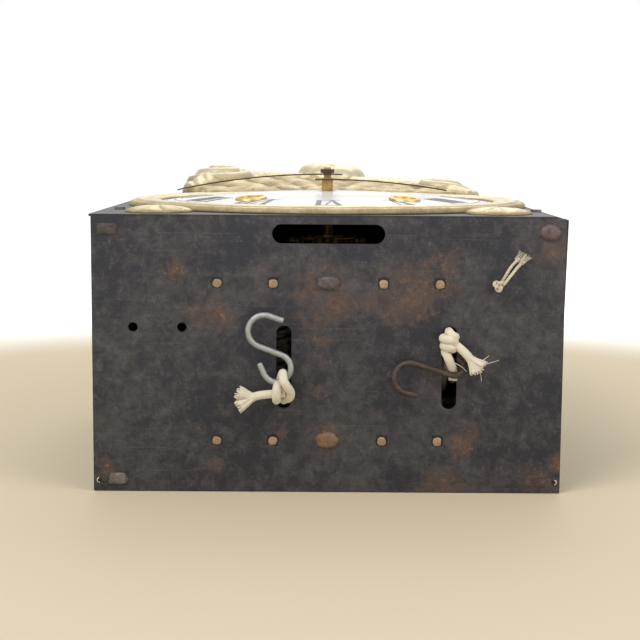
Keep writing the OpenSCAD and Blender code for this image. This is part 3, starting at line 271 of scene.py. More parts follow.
# Nodes of each finish; all others are dark steel
nodeFinish = {
    "seatIron": "seat_plate",
    "sheetIron": "top_plate back_cover dial_plate left_door right_door",
    "forgedIron": "corner_posts centre_bars going_bars strike_bars going_drum strike_drum",
    "handSteel": "minute_hand hour_hand hand_nut",
    "bellMetal": "bell",
    "brownWire": "going_hook",
    "brightWire": "strike_hook",
    "rimBrass": "winding_hole_rims",
    "wheelBrass": "going_great_wheel strike_great_wheel second_wheel transfer_wheel third_wheel escape_wheel "
                  "crutch minute_arbor intermediate_wheel hour_wheel pin_wheel locking_wheel fly",
}
finishOf = {node: metals[key] for key, row in nodeFinish.items() for node in row.split()}
for name, obj in nodes.items():
    obj.data.materials.clear()
    obj.data.materials.append(finishOf.get(name, metals["darkSteel"]))
print("finishes set")

wornEdges = {0.35: "seat_plate top_plate corner_posts centre_bars", 0.3: "going_bars strike_bars",
             0.25: "left_door right_door"}
for width, row in wornEdges.items():
    for name in row.split():
        bevel = nodes[name].modifiers.new("worn edges", "BEVEL")
        bevel.width, bevel.segments, bevel.limit_method = width / 1000, 2, "ANGLE"
        bevel.angle_limit = radians(40)
        bevel.harden_normals = False


# Mesh helpers; all shapes are worked out in mm
def newPiece(name, shape, material, replaced=(), body="cage", smooth=True):
    verts, faces = shape
    mesh = bpy.data.meshes.new(name)
    mesh.from_pydata([tuple(np.asarray(v) / 1000) for v in verts], [], faces)
    mesh.validate()
    mesh.materials.append(material)
    if smooth:
        mesh.polygons.foreach_set("use_smooth", [True] * len(mesh.polygons))
    obj = bpy.data.objects.new(name, mesh)
    scene.collection.objects.link(obj)
    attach(obj, body)
    if replaced:
        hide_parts(*replaced)
    return obj


def runAlong(path):
    return np.concatenate([[0], np.cumsum(np.linalg.norm(np.diff(path, axis=0), axis=1))])


def pointsAt(want, along, path):
    return np.stack([np.interp(want, along, path[:, k]) for k in range(3)], 1)


def unit(v):
    return v / np.linalg.norm(v)


# A curve through the points, cut into even steps
def smoothPath(points, step, cuts=24):
    pts = [np.array(p, float) for p in points]
    pts = [2 * pts[0] - pts[1]] + pts + [2 * pts[-1] - pts[-2]]
    fine = []
    for i in range(1, len(pts) - 2):
        a, b, c, d = pts[i - 1:i + 3]
        for t in np.linspace(0, 1, cuts, endpoint=False):
            fine.append(0.5 * (2 * b + (c - a) * t + (2 * a - 5 * b + 4 * c - d) * t * t
                               + (3 * b - a - 3 * c + d) * t ** 3))
    fine = np.array(fine + [pts[-2]])
    along = runAlong(fine)
    want = np.linspace(0, along[-1], max(3, int(round(along[-1] / step)) + 1))
    return pointsAt(want, along, fine), want


def pathFrames(path):
    tang = np.gradient(path, axis=0)
    tang /= np.linalg.norm(tang, axis=1)[:, None]
    side = unit(np.cross(tang[0], [0.31, 0.22, 0.93]))
    sides = []
    for t in tang:
        side = unit(side - t * side.dot(t))
        sides.append(side)
    sides = np.array(sides)
    return sides, np.cross(tang, sides)


def around(count):
    return [tau * k / count for k in range(count)]


def bandFaces(faces, start, rings, corners):
    for i in range(rings - 1):
        for k in range(corners):
            a, b = start + i * corners + k, start + i * corners + (k + 1) % corners
            faces.append((a, b, b + corners, a + corners))


def tubeFaces(faces, start, rings, corners):
    bandFaces(faces, start, rings, corners)
    last = start + (rings - 1) * corners
    faces.append(list(range(start, start + corners))[::-1])
    faces.append(list(range(last, last + corners)))


def tubeInto(shape, path, radius, corners):
    verts, faces = shape
    start = len(verts)
    for p, s, u, r in zip(path, *pathFrames(path), np.broadcast_to(radius, len(path))):
        for a in around(corners):
            verts.append(p + r * (cos(a) * s + sin(a) * u))
    tubeFaces(faces, start, len(path), corners)


# Three strands laid round each other; spread opens them towards the end
def ropeInto(shape, points, diameter, lay, step, corners, spread=0.0, strand=0.262):
    path, along = smoothPath(points, step)
    side, up = pathFrames(path)
    share = along / along[-1]
    off = strand * diameter * (1 + spread * np.clip((share - 0.45) / 0.55, 0, 1) ** 1.6)
    for k in range(3):
        phase = tau * (along / lay + k / 3)
        centre = path + off[:, None] * (np.cos(phase)[:, None] * side + np.sin(phase)[:, None] * up)
        tubeInto(shape, centre, strand * diameter * (1 + 0.03 * np.sin(along * 2.1 + k)), corners)
    return path


# Plaited cord: a tube whose surface rises and falls where the yarns cross; swell widens it along its length
def braidInto(shape, points, diameter, step=0.55, corners=24, carriers=7, pitch=3.4, swell=((0, 1),)):
    verts, faces = shape
    path, along = smoothPath(points, step)
    wide = np.interp(along / along[-1], [t for t, _ in swell], [w for _, w in swell])
    angle = tau * np.arange(corners) / corners
    start = len(verts)
    for p, s, u, d, w in zip(path, *pathFrames(path), along, wide):
        left = np.cos(carriers * angle / 2 + pi * d / pitch) ** 2
        right = np.cos(carriers * angle / 2 - pi * d / pitch) ** 2
        radius = diameter / 2 * w * (0.93 + 0.07 * np.maximum(left, right))
        for a, r in zip(angle, radius):
            verts.append(p + r * (cos(a) * s + sin(a) * u))
    tubeFaces(faces, start, len(path), corners)
    return path


# Cotton cord: cream, greyed by handling, with the fibres standing out a little
def makeCotton(name, clean, soiled, dirt):
    mat, shader, where = newMaterial(name)
    cloud = softNoise(where, 130, 6, 0.6)
    fibre = softNoise(where, 2600, 4, 0.7)
    stain = times(greyRamp(cloud, 0.4, 0.72), dirt)
    base = mixColour(stain, colour(*clean), colour(*soiled))
    base = mixColour(times(fibre, 0.45), base, colour(*(v * 0.8 for v in soiled)))
    feed(shader, {"Base Color": base, "Normal": bump(fibre, 0.0002, 0.5), "Roughness": 0.92,
                  "Specular IOR Level": 0.15, "Sheen Weight": 0.25, "Sheen Roughness": 0.6})
    return mat


cordCotton = makeCotton("cordCotton", (0.8, 0.73, 0.58), (0.52, 0.44, 0.32), 0.5)
lineCotton = makeCotton("lineCotton", (0.76, 0.69, 0.52), (0.42, 0.34, 0.22), 0.6)


def headingFrame(heading):
    heading = np.array(heading, float) / np.linalg.norm(heading)
    side = unit(np.cross(heading, [0.2, 0.9, 0.3]))
    return heading, side, np.cross(heading, side)


# Loose yarns at a cut end: they leave along heading and fan out
def frayInto(shape, rng, at, heading, spread, length, count, thick):
    heading, side, up = headingFrame(heading)
    at = np.array(at, float)
    for i in range(count):
        a, reach = rng.uniform(0, tau), sqrt(rng.random())
        out = reach * (cos(a) * side + sin(a) * up)
        far = length * rng.uniform(0.55, 1.0)
        wave = rng.uniform(-0.5, 0.5) * side + rng.uniform(-0.5, 0.5) * up
        pts = [at + out * 1.5 - heading * 2.0]
        for t in (0.35, 0.7, 1.0):
            pts.append(at + heading * far * t + out * (1.5 + spread * t ** 1.3) + wave * sin(3 * t))
        path, _ = smoothPath(pts, 1.3)
        tubeInto(shape, path, np.linspace(thick, thick * 0.55, len(path)), 5)


# A cut end that has opened out: a thick bundle of yarns along its heading
def tuftInto(shape, rng, at, heading, length, narrow, wide, yarns):
    heading, side, up = headingFrame(heading)
    at = np.array(at, float)
    core = [at - heading * 2.5, at, at + heading * length * 0.45, at + heading * length * 0.86]
    swell = [(0, 0.8), (0.3, 1), (1, 0.92 * wide / narrow)]
    braidInto(shape, core, 2 * narrow, 0.5, 22, 11, 40.0, swell)
    for i in range(yarns):
        a, reach = rng.uniform(0, tau), sqrt(rng.uniform(0.15, 1.0))
        out = reach * (cos(a) * side + sin(a) * up)
        far = length * rng.uniform(0.82, 1.08)
        bow = rng.uniform(-0.35, 0.35)
        pts = [at - heading * 1.5 + out * narrow * 0.9]
        for t in (0.4, 0.75, 1.0):
            grow = narrow + (wide - narrow) * t ** 1.2
            pts.append(at + heading * far * t + out * grow + bow * sin(3 * t) * side)
        path, _ = smoothPath(pts, 0.9)
        tubeInto(shape, path, np.linspace(0.42, 0.3, len(path)), 6)


weightCord = {"diameter": 4.6, "inKnot": 1.02, "inTail": 0.97, "strays": 26}
# tufts: place, heading, length, radius at the root and at the end, yarns
cords = {
    "strike": {
        "seed": 11,
        "route": [(-23.35, -59.5, 47.8), (-23.35, -75, 47.8), (-23.35, -95, 48.2), (-23.35, -113, 48.8),
                  (-23.35, -123, 49.4), (-22.75, -128.2, 51.2)],
        "knot": [(-22.9, -126.5, 50.6), (-22.4, -128.4, 51.2), (-20.3, -131.0, 52.0), (-19.5, -133.8, 55.4),
                 (-21.2, -136.2, 58.8), (-22.9, -136.7, 61.6), (-23.5, -134.9, 64.4), (-23.7, -132.0, 65.4),
                 (-24.4, -129.2, 63.4), (-25.2, -128.3, 60.2), (-26.2, -128.5, 56.6), (-26.9, -129.6, 52.8),
                 (-26.9, -132.8, 51.1), (-26.9, -135.7, 53.2), (-26.8, -136.3, 56.4), (-26.4, -134.6, 59.2),
                 (-25.2, -132.6, 58.2), (-23.2, -131.8, 55.6)],
        "tail": [(-22.4, -132.0, 54.6), (-26.6, -132.6, 54.5), (-30.4, -132.3, 54.2), (-36.2, -132.0, 53.4),
                 (-40.6, -132.0, 52.2)],
        "tufts": [((-40.4, -132.0, 52.4), (-0.9, -0.1, 0.36), 8.0, 2.2, 3.6, 44),
                  ((-40.4, -132.0, 51.8), (-0.8, -0.16, -0.56), 8.4, 2.2, 3.7, 44)],
        "loose": [],
    },
    "going": {
        "seed": 23,
        "route": [(64.65, -59.5, 47.8), (64.65, -73, 47.8), (64.05, -89, 51.8), (63.85, -105, 61.8),
                  (64.25, -117, 73.8), (64.65, -124, 79.8), (64.3, -128.0, 83.4)],
        "knot": [(64.5, -125.6, 81.6), (64.3, -127.6, 84.0), (63.7, -129.6, 87.4), (63.6, -132.4, 87.8),
                 (64.6, -135.0, 86.6), (66.4, -134.2, 85.6), (66.4, -131.2, 85.2), (63.6, -129.6, 84.8),
                 (60.8, -131.4, 84.6), (60.7, -134.2, 84.4), (63.4, -136.2, 84.0), (66.0, -134.6, 83.4),
                 (65.8, -131.4, 82.4), (63.4, -130.0, 81.4), (61.2, -131.6, 80.8), (61.1, -134.2, 80.4),
                 (63.4, -135.8, 80.0), (65.5, -134.4, 79.4), (65.3, -131.8, 78.8), (63.4, -130.6, 78.2),
                 (61.6, -132.2, 77.6), (62.4, -134.6, 75.8), (63.6, -135.0, 73.2), (65.0, -133.2, 70.0),
                 (66.0, -129.4, 67.4), (66.4, -128.0, 64.2), (66.3, -128.2, 61.4)],
        "tail": [(63.6, -133.0, 82.6), (66.4, -134.0, 81.6), (69.2, -135.0, 79.6), (72.4, -135.9, 76.6),
                 (75.6, -136.0, 72.9)],
        "tufts": [((75.2, -136.0, 73.4), (0.82, -0.05, -0.46), 7.4, 2.2, 3.4, 40),
                  ((75.2, -136.0, 73.2), (0.34, -0.12, -0.92), 7.2, 2.2, 3.4, 40)],
        "loose": [[(77.5, -136.2, 72.2), (82.0, -136.8, 71.6), (86.0, -136.4, 72.6), (89.5, -136.0, 73.6)],
                  [(77.5, -136.2, 72.6), (81.0, -137.2, 73.8), (84.2, -137.0, 76.2)],
                  [(66.8, -134.0, 71.6), (70.2, -134.8, 69.8), (73.0, -134.4, 67.0)],
                  [(77.2, -136.0, 70.4), (79.8, -136.2, 66.4), (80.6, -136.0, 62.6)]],
    },
}


# The run from the drum to the knot
def makeRun(side, c):
    shape = [], []
    path = braidInto(shape, c["route"], weightCord["diameter"])
    return newPiece(side + "CordRun", shape, cordCotton, [side + "_cord"]), path / 1000


# The loop on the hook's wire, the turns that hold it, the tail with its opened end, and stray yarns
def makeKnot(side, c):
    rng = random.Random(c["seed"])
    shape = [], []
    thick = weightCord["diameter"] * weightCord["inKnot"]
    braidInto(shape, c["knot"], thick, 0.5)
    braidInto(shape, c["tail"], thick * weightCord["inTail"], 0.5)
    for tuft in c["tufts"]:
        tuftInto(shape, rng, *tuft)
    for pts in c["loose"]:
        path, _ = smoothPath(pts, 0.8)
        tubeInto(shape, path, np.linspace(0.22, 0.13, len(path)), 6)
    for i in range(weightCord["strays"]):
        spot = np.array(rng.choice(c["knot"][2:] + c["tail"][1:]))
        heading = [rng.uniform(-1, 1), rng.uniform(-1, 0.1), rng.uniform(-1, 1)]
        frayInto(shape, rng, spot, heading, 0.5, rng.uniform(3.0, 5.0), 1, 0.07)
    replaced = [side + "_cord_knot", side + "_cord_tail"]
    return newPiece(side + "CordKnot", shape, cordCotton, replaced)


def declareCord(piece, path, diameter):
    length = float(np.linalg.norm(np.diff(path, axis=0), axis=1).sum())
    tuple(path[0])
    [tuple(p) for p in path]


tied = {side: (*makeRun(side, c), makeKnot(side, c)) for side, c in cords.items()}
print("weight cords tied")

# One layer of cord on each drum
winding = {"radius": 20.65, "y": -55.0, "z": 47.8, "pitch": 5.0, "turns": 8, "cuts": 16, "lead": 4.5, "thick": 4.4}


def makeWinding(side, x, w):
    pts = [(x + w["radius"], w["y"] - w["lead"], w["z"])]
    for i in range(w["turns"] * w["cuts"] + 1):
        a = tau * i / w["cuts"]
        pts.append((x + w["radius"] * cos(a), w["y"] + w["radius"] * sin(a),
                    w["z"] + w["pitch"] * i / w["cuts"]))
    shape = [], []
    braidInto(shape, pts, w["thick"], 0.9, 16)
    newPiece(side + "Winding", shape, cordCotton, [side + "_cord_winding"], side + "_barrel")


makeWinding("going", 44, winding)
makeWinding("strike", -44, winding)

repeatLine = {
    "x": 89.5, "z": 112.0, "top": 5.2, "bottom": -125.0, "diameter": 2.0, "lay": 6.0,
    "stopRadius": 1.9, "stopFrom": 3.55, "stopClimb": 0.16, "stopEnd": [(0.4, 6.2, 1.6), (-0.6, 8.6, 2.2)],
    "knotAt": -128.2, "knotSize": 0.84, "knotDepth": 1.35, "tailDiameter": 1.6, "tailLay": 5.0,
    "tails": [((92.1, -127.4, 115.4), (100.0, -127.8, 126.4)), ((93.1, -128.8, 114.0), (102.0, -129.6, 125.4))],
}


# The line from the lever to below the plate, the turns that stop it above, and the knot with two tails below
def makeRepeatLine(c):
    rng = random.Random(5)
    x, z, wide, lay, yarn = c["x"], c["z"], c["diameter"], c["lay"], 0.14
    shape = [], []
    route = [(x, y, z) for y in np.linspace(c["top"], c["bottom"], 9)]
    path = ropeInto(shape, route, wide, lay, 0.7, 9)
    line = newPiece("repeatLine", shape, lineCotton, ["repeat_cord"])
    shape = [], []
    stop = [(x + c["stopRadius"] * cos(t), c["stopFrom"] + c["stopClimb"] * t, z + c["stopRadius"] * sin(t))
            for t in np.linspace(0, 4 * pi, 26)]
    stop += [(x + dx, y, z + dz) for dx, y, dz in c["stopEnd"]]
    ropeInto(shape, stop, wide, lay, 0.6, 9)
    frayInto(shape, rng, (x - 0.6, 8.4, z + 2.2), (-0.3, 1, 0.2), 0.9, 3.0, 14, yarn)
    stopKnot = newPiece("repeatLineStop", shape, lineCotton)
    shape, bend = ([], []), []
    for t in np.linspace(0.35, tau + 0.1, 34):
        bend.append((x + c["knotSize"] * (sin(t) + 2 * sin(2 * t)),
                     c["knotAt"] + c["knotDepth"] * sin(3 * t),
                     z + c["knotSize"] * (cos(t) - 2 * cos(2 * t))))
    ropeInto(shape, bend, wide, lay, 0.6, 9)
    for start, end in c["tails"]:
        a, b = np.array(start), np.array(end)
        mid = (a + b) / 2 + np.array([rng.uniform(-0.6, 0.6), -0.5, 0.9])
        tail = [a - 0.3 * (b - a) / 2, a, mid, b]
        ropeInto(shape, tail, c["tailDiameter"], c["tailLay"], 0.6, 7, 0.5)
        frayInto(shape, rng, b, b - mid, 1.5, 4.2, 22, yarn)
    knot = newPiece("repeatLineKnot", shape, lineCotton, ["repeat_cord_knot"])
    declareCord(line, path / 1000, wide)


makeRepeatLine(repeatLine)
print("repeat line tied")

# Weight hooks: one bent wire each, cut off blunt at both ends; low is the middle of the small bend, gap the
# way to the big one, big and small are the radii, ends and straight are angles
hookWire = {"y": -132.2, "radius": 1.6, "points": 120, "blunt": 0.8}
hooks = {
    "strike": {"low": (-26.8, 68), "turn": 18.9, "gap": 20.7, "big": 8.5, "small": 7.4, "ends": (0, -223),
               "straight": (52, 48), "way": 1, "metal": "brightWire", "slot": "bright_wire", "seed": 3},
    "going": {"low": (67, 69.2), "turn": 104.4, "gap": 24.6, "big": 8.2, "small": 4.6, "ends": (-16, -160),
              "straight": (40, 0.5), "way": -1, "metal": "brownWire", "slot": "dark_iron", "seed": 4},
}


def makeHook(side, h):
    rng = random.Random(h["seed"])
    big, small, gap, w = h["big"], h["small"], h["gap"], hookWire
    lean = 180 + degrees(asin((big + small) / gap))
    first, last = (radians(h["ends"][k] + h["straight"][k]) for k in (0, 1))
    lead, trail = (radians(angle) for angle in h["straight"])

    def arc(radius, drop, angles):
        return [(radius * cos(a), radius * sin(a) - drop) for a in angles]

    def tangent(radius, drop, at, runs):
        return [(radius * (cos(at) + t * sin(at)), radius * (sin(at) - t * cos(at)) - drop) for t in runs]

    pts = tangent(big, 0, first, np.linspace(lead, 0, 12, endpoint=False))
    pts += arc(big, 0, np.linspace(first, radians(lean), 40))
    pts += arc(small, gap, np.linspace(radians(lean - 180), last, 40))
    pts += tangent(small, gap, last, np.linspace(0, trail, 13)[1:])
    turn, path = radians(h["turn"]), []
    for px, py in pts:
        px, py = px * h["way"], py + gap
        path.append((h["low"][0] + px * cos(turn) - py * sin(turn), w["y"],
                     h["low"][1] + px * sin(turn) + py * cos(turn)))
    path = np.array(path)
    along = runAlong(path)
    want = np.linspace(0, along[-1], w["points"])
    radius = w["radius"] * (1 + 0.02 * np.sin(want * 0.9 + rng.random()) + 0.015 * np.sin(want * 2.3))
    radius[[0, -1]] *= w["blunt"]
    shape = [], []
    tubeInto(shape, pointsAt(want, along, path), radius, 16)
    body = side + "_hook"
    return newPiece(side + "HookWire", shape, metals[h["metal"]], [body], body)


bent = {side: makeHook(side, h) for side, h in hooks.items()}
for side, (run, path, knot) in tied.items():
    declareCord(run, path, weightCord["diameter"])
print("hooks bent")

# Riveted heads on the front of the seat plate, each hammered to its own shape, and the pegs between them, each set in
# a near-black disc of painted shade that stands for its hole
headIrons = {  # skin, bloom, rust, patch size, amount of rust, metallic, bump
    "wornIron": ((0.12, 0.105, 0.09), (0.26, 0.23, 0.19), (0.16, 0.085, 0.05), 140, 0.3, 0.4, 0.0003),
    "redIron": ((0.06, 0.036, 0.033), (0.15, 0.105, 0.1), (0.16, 0.068, 0.045), 110, 0.55, 0.3, 0.0003),
    "rustIron": ((0.12, 0.07, 0.04), (0.22, 0.14, 0.09), (0.27, 0.125, 0.05), 150, 0.8, 0.15, 0.0004),
    "greyIron": ((0.045, 0.036, 0.034), (0.12, 0.092, 0.085), (0.16, 0.085, 0.055), 120, 0.5, 0.3, 0.0003),
    "pegBrass": ((0.26, 0.165, 0.09), (0.4, 0.28, 0.165), (0.24, 0.12, 0.06), 300, 0.4, 0.3, 0.00015),
    # near-black discs laid on the plate: painted shade inside the peg and pin holes
    "holeShadeBlack": ((0.006, 0.005, 0.005), (0.012, 0.01, 0.01), (0.02, 0.012, 0.008), 200, 0.2, 0.1, 0.0001),
}
metals.update({name: corroded(name, *row) for name, row in headIrons.items()})
metals["rubbedBrass"] = tarnished("rubbedBrass", (0.8, 0.64, 0.48), (0.5, 0.36, 0.25), 0.2, 0.03, 0.00001)
heads = [  # across, up, width, height, proud, squareness, metal
    (-116.6, 140.5, 10.6, 6.4, 1.0, 5.0, "greyIron"), (116.6, 139.8, 11.2, 8.6, 2.4, 2.3, "redIron"),
    (-112.0, 6.5, 10.2, 6.2, 0.9, 6.0, "wornIron"), (112.0, 6.5, 10.8, 6.4, 0.85, 5.0, "redIron"),
    (0.0, 112.5, 12.2, 7.4, 1.7, 2.3, "greyIron"), (0.0, 28.0, 12.2, 8.4, 1.7, 2.8, "rustIron"),
]
# the hole radius is that of the painted-shade disc round each peg; drop sets the peg end below the disc's centre
pegs = {"across": (29.15, 58.85), "rows": (28.0, 112.5), "hole": 3.3, "peg": 2.35, "drop": 0.45,
        "doorPin": (121.8, 5.6), "rim": 1.35, "rimPoints": 25, "rimReach": 85}


# A low dome over a rounded rectangle, standing on the plate
def domeInto(shape, x, z, width, height, base, proud, square, rng, spokes=48, rings=9):
    verts, faces = shape
    wave = [(rng.uniform(0, 6.28), rng.uniform(0.01, 0.03)) for _ in range(4)]
    start = len(verts)
    for i in range(rings + 1):
        share = i / rings
        for a in around(spokes):
            edge = 1 / (abs(cos(a)) ** square + abs(sin(a)) ** square) ** (1 / square)
            edge *= 1 + sum(w * sin((n + 2) * a + f) for n, (f, w) in enumerate(wave))
            up = base + (proud - base) * (1 - share ** (2 + square * 0.5)) ** 0.6 if share < 1 else 0.0
            up += 0.05 * sin(5 * share + 3 * a + wave[0][0]) * (share < 1)
            verts.append((x + width / 2 * edge * share * cos(a), plateFront - up,
                          z + height / 2 * edge * share * sin(a)))
    bandFaces(faces, start, rings + 1, spokes)


def makeHeads(rows, c):
    rng = random.Random(8)
    for number, (x, z, width, height, proud, square, metal) in enumerate(rows):
        shape = [], []
        domeInto(shape, x, z, width, height, 0.3, proud, square, rng)
        newPiece("rivetHead%d" % number, shape, metals[metal])
    holeShades, ends, rims = ([], []), ([], []), ([], [])

    # a near-black disc just proud of the plate, painted shade standing in for the hole
    def hole(x, z, wide):
        domeInto(holeShades, x, z, wide, wide, 0.02, 0.06, 2.0, rng, 32, 4)

    wide = 2 * c["peg"]
    for s in (-1, 1):
        for across in c["across"]:
            for z in c["rows"]:
                hole(s * across, z, 2 * c["hole"])
                x = s * across + rng.uniform(-0.2, 0.2)
                # the peg end sits low in its disc, leaving a crescent of painted shade above it
                domeInto(ends, x, z - c["drop"], wide, wide * rng.uniform(0.94, 1), 0.1, 0.34, 2.6, rng, 32, 6)
    (pinX, pinZ), rim, count = c["doorPin"], c["rim"], c["rimPoints"]
    for s in (-1, 1):  # the door pins: a disc of painted shade for each hole, its rim worn bright on the outer side
        hole(s * pinX, pinZ, 2 * rim - 0.3)
        turns = np.radians(90 - s * 90 + np.linspace(-c["rimReach"], c["rimReach"], count))
        arc = np.stack([s * pinX + rim * np.cos(turns), np.full(count, plateFront - 0.05),
                        pinZ + rim * np.sin(turns)], 1)
        tubeInto(rims, arc, 0.06 + 0.34 * np.sin(np.linspace(0, pi, count)), 10)
    newPiece("pinRims", rims, metals["rubbedBrass"])
    # near-black discs: painted shade for the peg and pin holes
    newPiece("pegHoleShades", holeShades, metals["holeShadeBlack"])
    newPiece("pegEnds", ends, metals["pegBrass"])


makeHeads(heads, pegs)
print("heads hammered")

# Pressed brass surround: a ring round the dial, a pediment in relief above it and a leaf at each lower corner;
# scrolls and leaf: across, up, radius, rise
surround = {
    "z": 148.25, "ring": 120.0, "inner": 117.2, "lip": 150.58, "tilt": 3.1, "hinge": 112.0, "grid": 1.0,
    "span": ((-114, 114.01), (96, 263.01)), "middle": 5, "sheet": 0.0009, "leafSheet": 0.0008,
    "scrolls": [(5, 228, 34, 15.4), (49, 196, 20, 7.4), (-39, 196, 20, 7.4), (86, 162, 26, 9.6), (-76, 162, 26, 9.6)],
    "garland": [(-104, 122), (-76, 162), (-39, 196), (5, 228), (49, 196), (86, 162), (112, 122)],
    "leaf": (92.1, -98.7, 19.0, 3.4),
    "corners": [(110, 130), (49, 206), (5, 232), (-39, 206), (-102, 130), (-60, 60), (60, 60)],
    "gilt": colour(0.5, 0.41, 0.235), "grime": colour(0.17, 0.12, 0.06), "pale": colour(0.6, 0.545, 0.4),
}
# Section of the ring: outer rows as depth inside the ring and height over its foot, lip rows as radius and height
# over the lip, then the way back underneath
ringSection = {
    "count": 288, "flat": 107, "seen": 17,
    "outer": [(0, 0), (0, 0.9), (0.3, 1.8), (1.2, 2.8), (2.4, 3.4), (3.3, 3.3), (3.9, 2.9), (4.5, 3.4), (5.2, 4.0),
              (6.6, 4.3), (8.4, 4.15), (9.6, 3.8), (10.4, 3.5), (11.2, 3.7)],
    "lip": [(106.4, 1.8), (104.5, 1.55), (102.6, 1.3), (100.9, 0.8), (100.5, 0.1), (104, 0.35), (106.8, 0.5)],
    "under": [(10.2, 2.5), (6.5, 3.0), (3.2, 2.3), (1.2, 1.1), (1.2, 0)],
}


def makePressedBrass(c):
    mat, shader, where = newMaterial("pressedBrass")
    group = addNode("Group", {"Vector": where, "Metal": c["gilt"], "Tarnish": c["grime"], "Amount": 0.6,
                              "Polish": 0.36}, node_tree=patina)
    relief = addNode("Attribute", {}, where.id_data, attribute_name="relief").outputs["Fac"]
    hollow = greyRamp(relief, 0.1, 0.55, 1, 0)
    rubbed = greyRamp(relief, 0.62, 0.95)
    base = mixColour(times(hollow, 0.4), group.outputs["Color"], c["grime"])
    base = mixColour(times(rubbed, 0.6), base, c["pale"])
    feed(shader, {
        "Base Color": base, "Metallic": 0.9,
        "Roughness": plus(group.outputs["Roughness"], times(hollow, 0.2)),
        "Normal": bump(softNoise(where, 700, 3, 0.5), 0.00015, 0.5)})
    return mat


pressedBrass = makePressedBrass(surround)


def smoothStep(x, a, b):
    t = np.clip((x - a) / (b - a), 0, 1)
    return t * t * (3 - 2 * t)


def dome(share):
    return np.sqrt(np.clip(1 - share ** 2, 0, 1))


def bell(x, middle, half):
    return np.exp(-((x - middle) / half) ** 2)


# Height of the pressing over its sheet, and how far inside the outline a point lies
def pedimentRelief(x, y, c):
    high, poly = np.zeros_like(x), np.full_like(x, 1e3)
    for (ax, ay), (bx, by) in zip(c["corners"], c["corners"][1:] + c["corners"][:1]):
        long = hypot(bx - ax, by - ay)
        poly = np.minimum(poly, ((bx - ax) * (y - ay) - (by - ay) * (x - ax)) / long)
    inside = poly
    for k, (px, py, r, rise) in enumerate(c["scrolls"]):
        dx, dy = x - px, y - py
        rho, phi = np.hypot(dx, dy), np.arctan2(dy, dx)
        inside = np.maximum(inside, r * (0.982 + 0.018 * np.cos(phi * round(r * 0.42))) - rho)
        share = np.clip(rho / r, 0, 1)
        bowl = dome(share)
        if k == 0:  # fan of nine leaves over a boss
            lobes = np.abs(np.cos(4.5 * (phi - pi / 2)))
            broad = np.clip(1 - (rho / (0.8 * r)) ** 5, 0, 1) ** 0.5
            part = rise * broad * (0.82 + 0.13 * lobes ** 0.6 * smoothStep(share, 0.16, 0.3))
            part = np.maximum(part, rise * dome(rho / (0.26 * r)))
        elif k < 3:  # flower of six petals
            part = rise * (bowl * (0.5 + 0.5 * np.abs(np.cos(3 * phi)) ** 0.7))
            part = np.maximum(part, rise * 1.1 * dome(rho / (0.25 * r)))
        else:  # rolled scroll
            turnWay = 1 if px > 0 else -1
            lead = np.mod(rho / (0.34 * r) - turnWay * phi / (tau) + 0.25, 1.0)
            part = rise * (0.45 * bowl + 0.62 * bowl ** 0.5 * dome((lead - 0.5) / 0.44))
        high = np.maximum(high, part * smoothStep(r - rho, 0.0, 2.0))
        beads = 0.75 + 0.25 * np.cos(phi * round(r * 0.9))
        high = np.maximum(high, 3.4 * bell(rho, 0.87 * r, 0.075 * r) * beads)
    # garland of leaves from scroll to scroll
    far, run, done = np.full_like(x, 1e3), np.zeros_like(x), 0.0
    for (ax, ay), (bx, by) in zip(c["garland"], c["garland"][1:]):
        long = hypot(bx - ax, by - ay)
        t = np.clip(((x - ax) * (bx - ax) + (y - ay) * (by - ay)) / long ** 2, 0, 1)
        away = np.hypot(x - ax - t * (bx - ax), y - ay - t * (by - ay))
        run = np.where(away < far, done + t * long, run)
        far = np.minimum(far, away)
        done += long
    blades = np.abs(np.cos(pi * (run + 0.9 * far) / 11.0))
    high = np.maximum(high, 6.9 * dome(far / 17) * (0.72 + 0.28 * blades ** 0.6))
    # leafy band that follows the ring, and a roped upper edge
    rad, ang = np.hypot(x, y), np.arctan2(y, x)
    leaf = np.abs(np.cos(26 * ang + 0.28 * (rad - 124)))
    high = np.maximum(high, 3.2 * leaf ** 0.7 * bell(rad, 133, 6.5))
    across = np.abs(x - c["middle"])
    along = np.where(across > 44, across * 1.45, across * 1.12)
    roped = bell(poly, 3.2, 2.0) * (0.7 + 0.3 * np.cos(along * 1.1 + poly))
    high = np.maximum(high, 4.2 * roped * (y > 140))
    # shell that opens from the ring towards the fan, its ribs crossed by shallow steps
    spread, reach = np.arctan2(x - c["middle"], y - 92), np.hypot(x - c["middle"], y - 92)
    ribs = np.abs(np.cos(9.5 * spread)) ** 0.7
    steps = 0.85 + 0.15 * np.cos(tau * (reach + 5 * ribs) / 17)
    high = np.maximum(high, 3.6 * ribs * steps * smoothStep(poly, 3, 8))
    return high, inside


def addRelief(obj, values):
    attr = obj.data.attributes.new("relief", "FLOAT", "POINT")
    attr.data.foreach_set("value", np.asarray(values, np.float32))


def thicken(obj, thickness):
    sheet = obj.modifiers.new("sheet", "SOLIDIFY")
    sheet.thickness, sheet.offset = thickness, -1


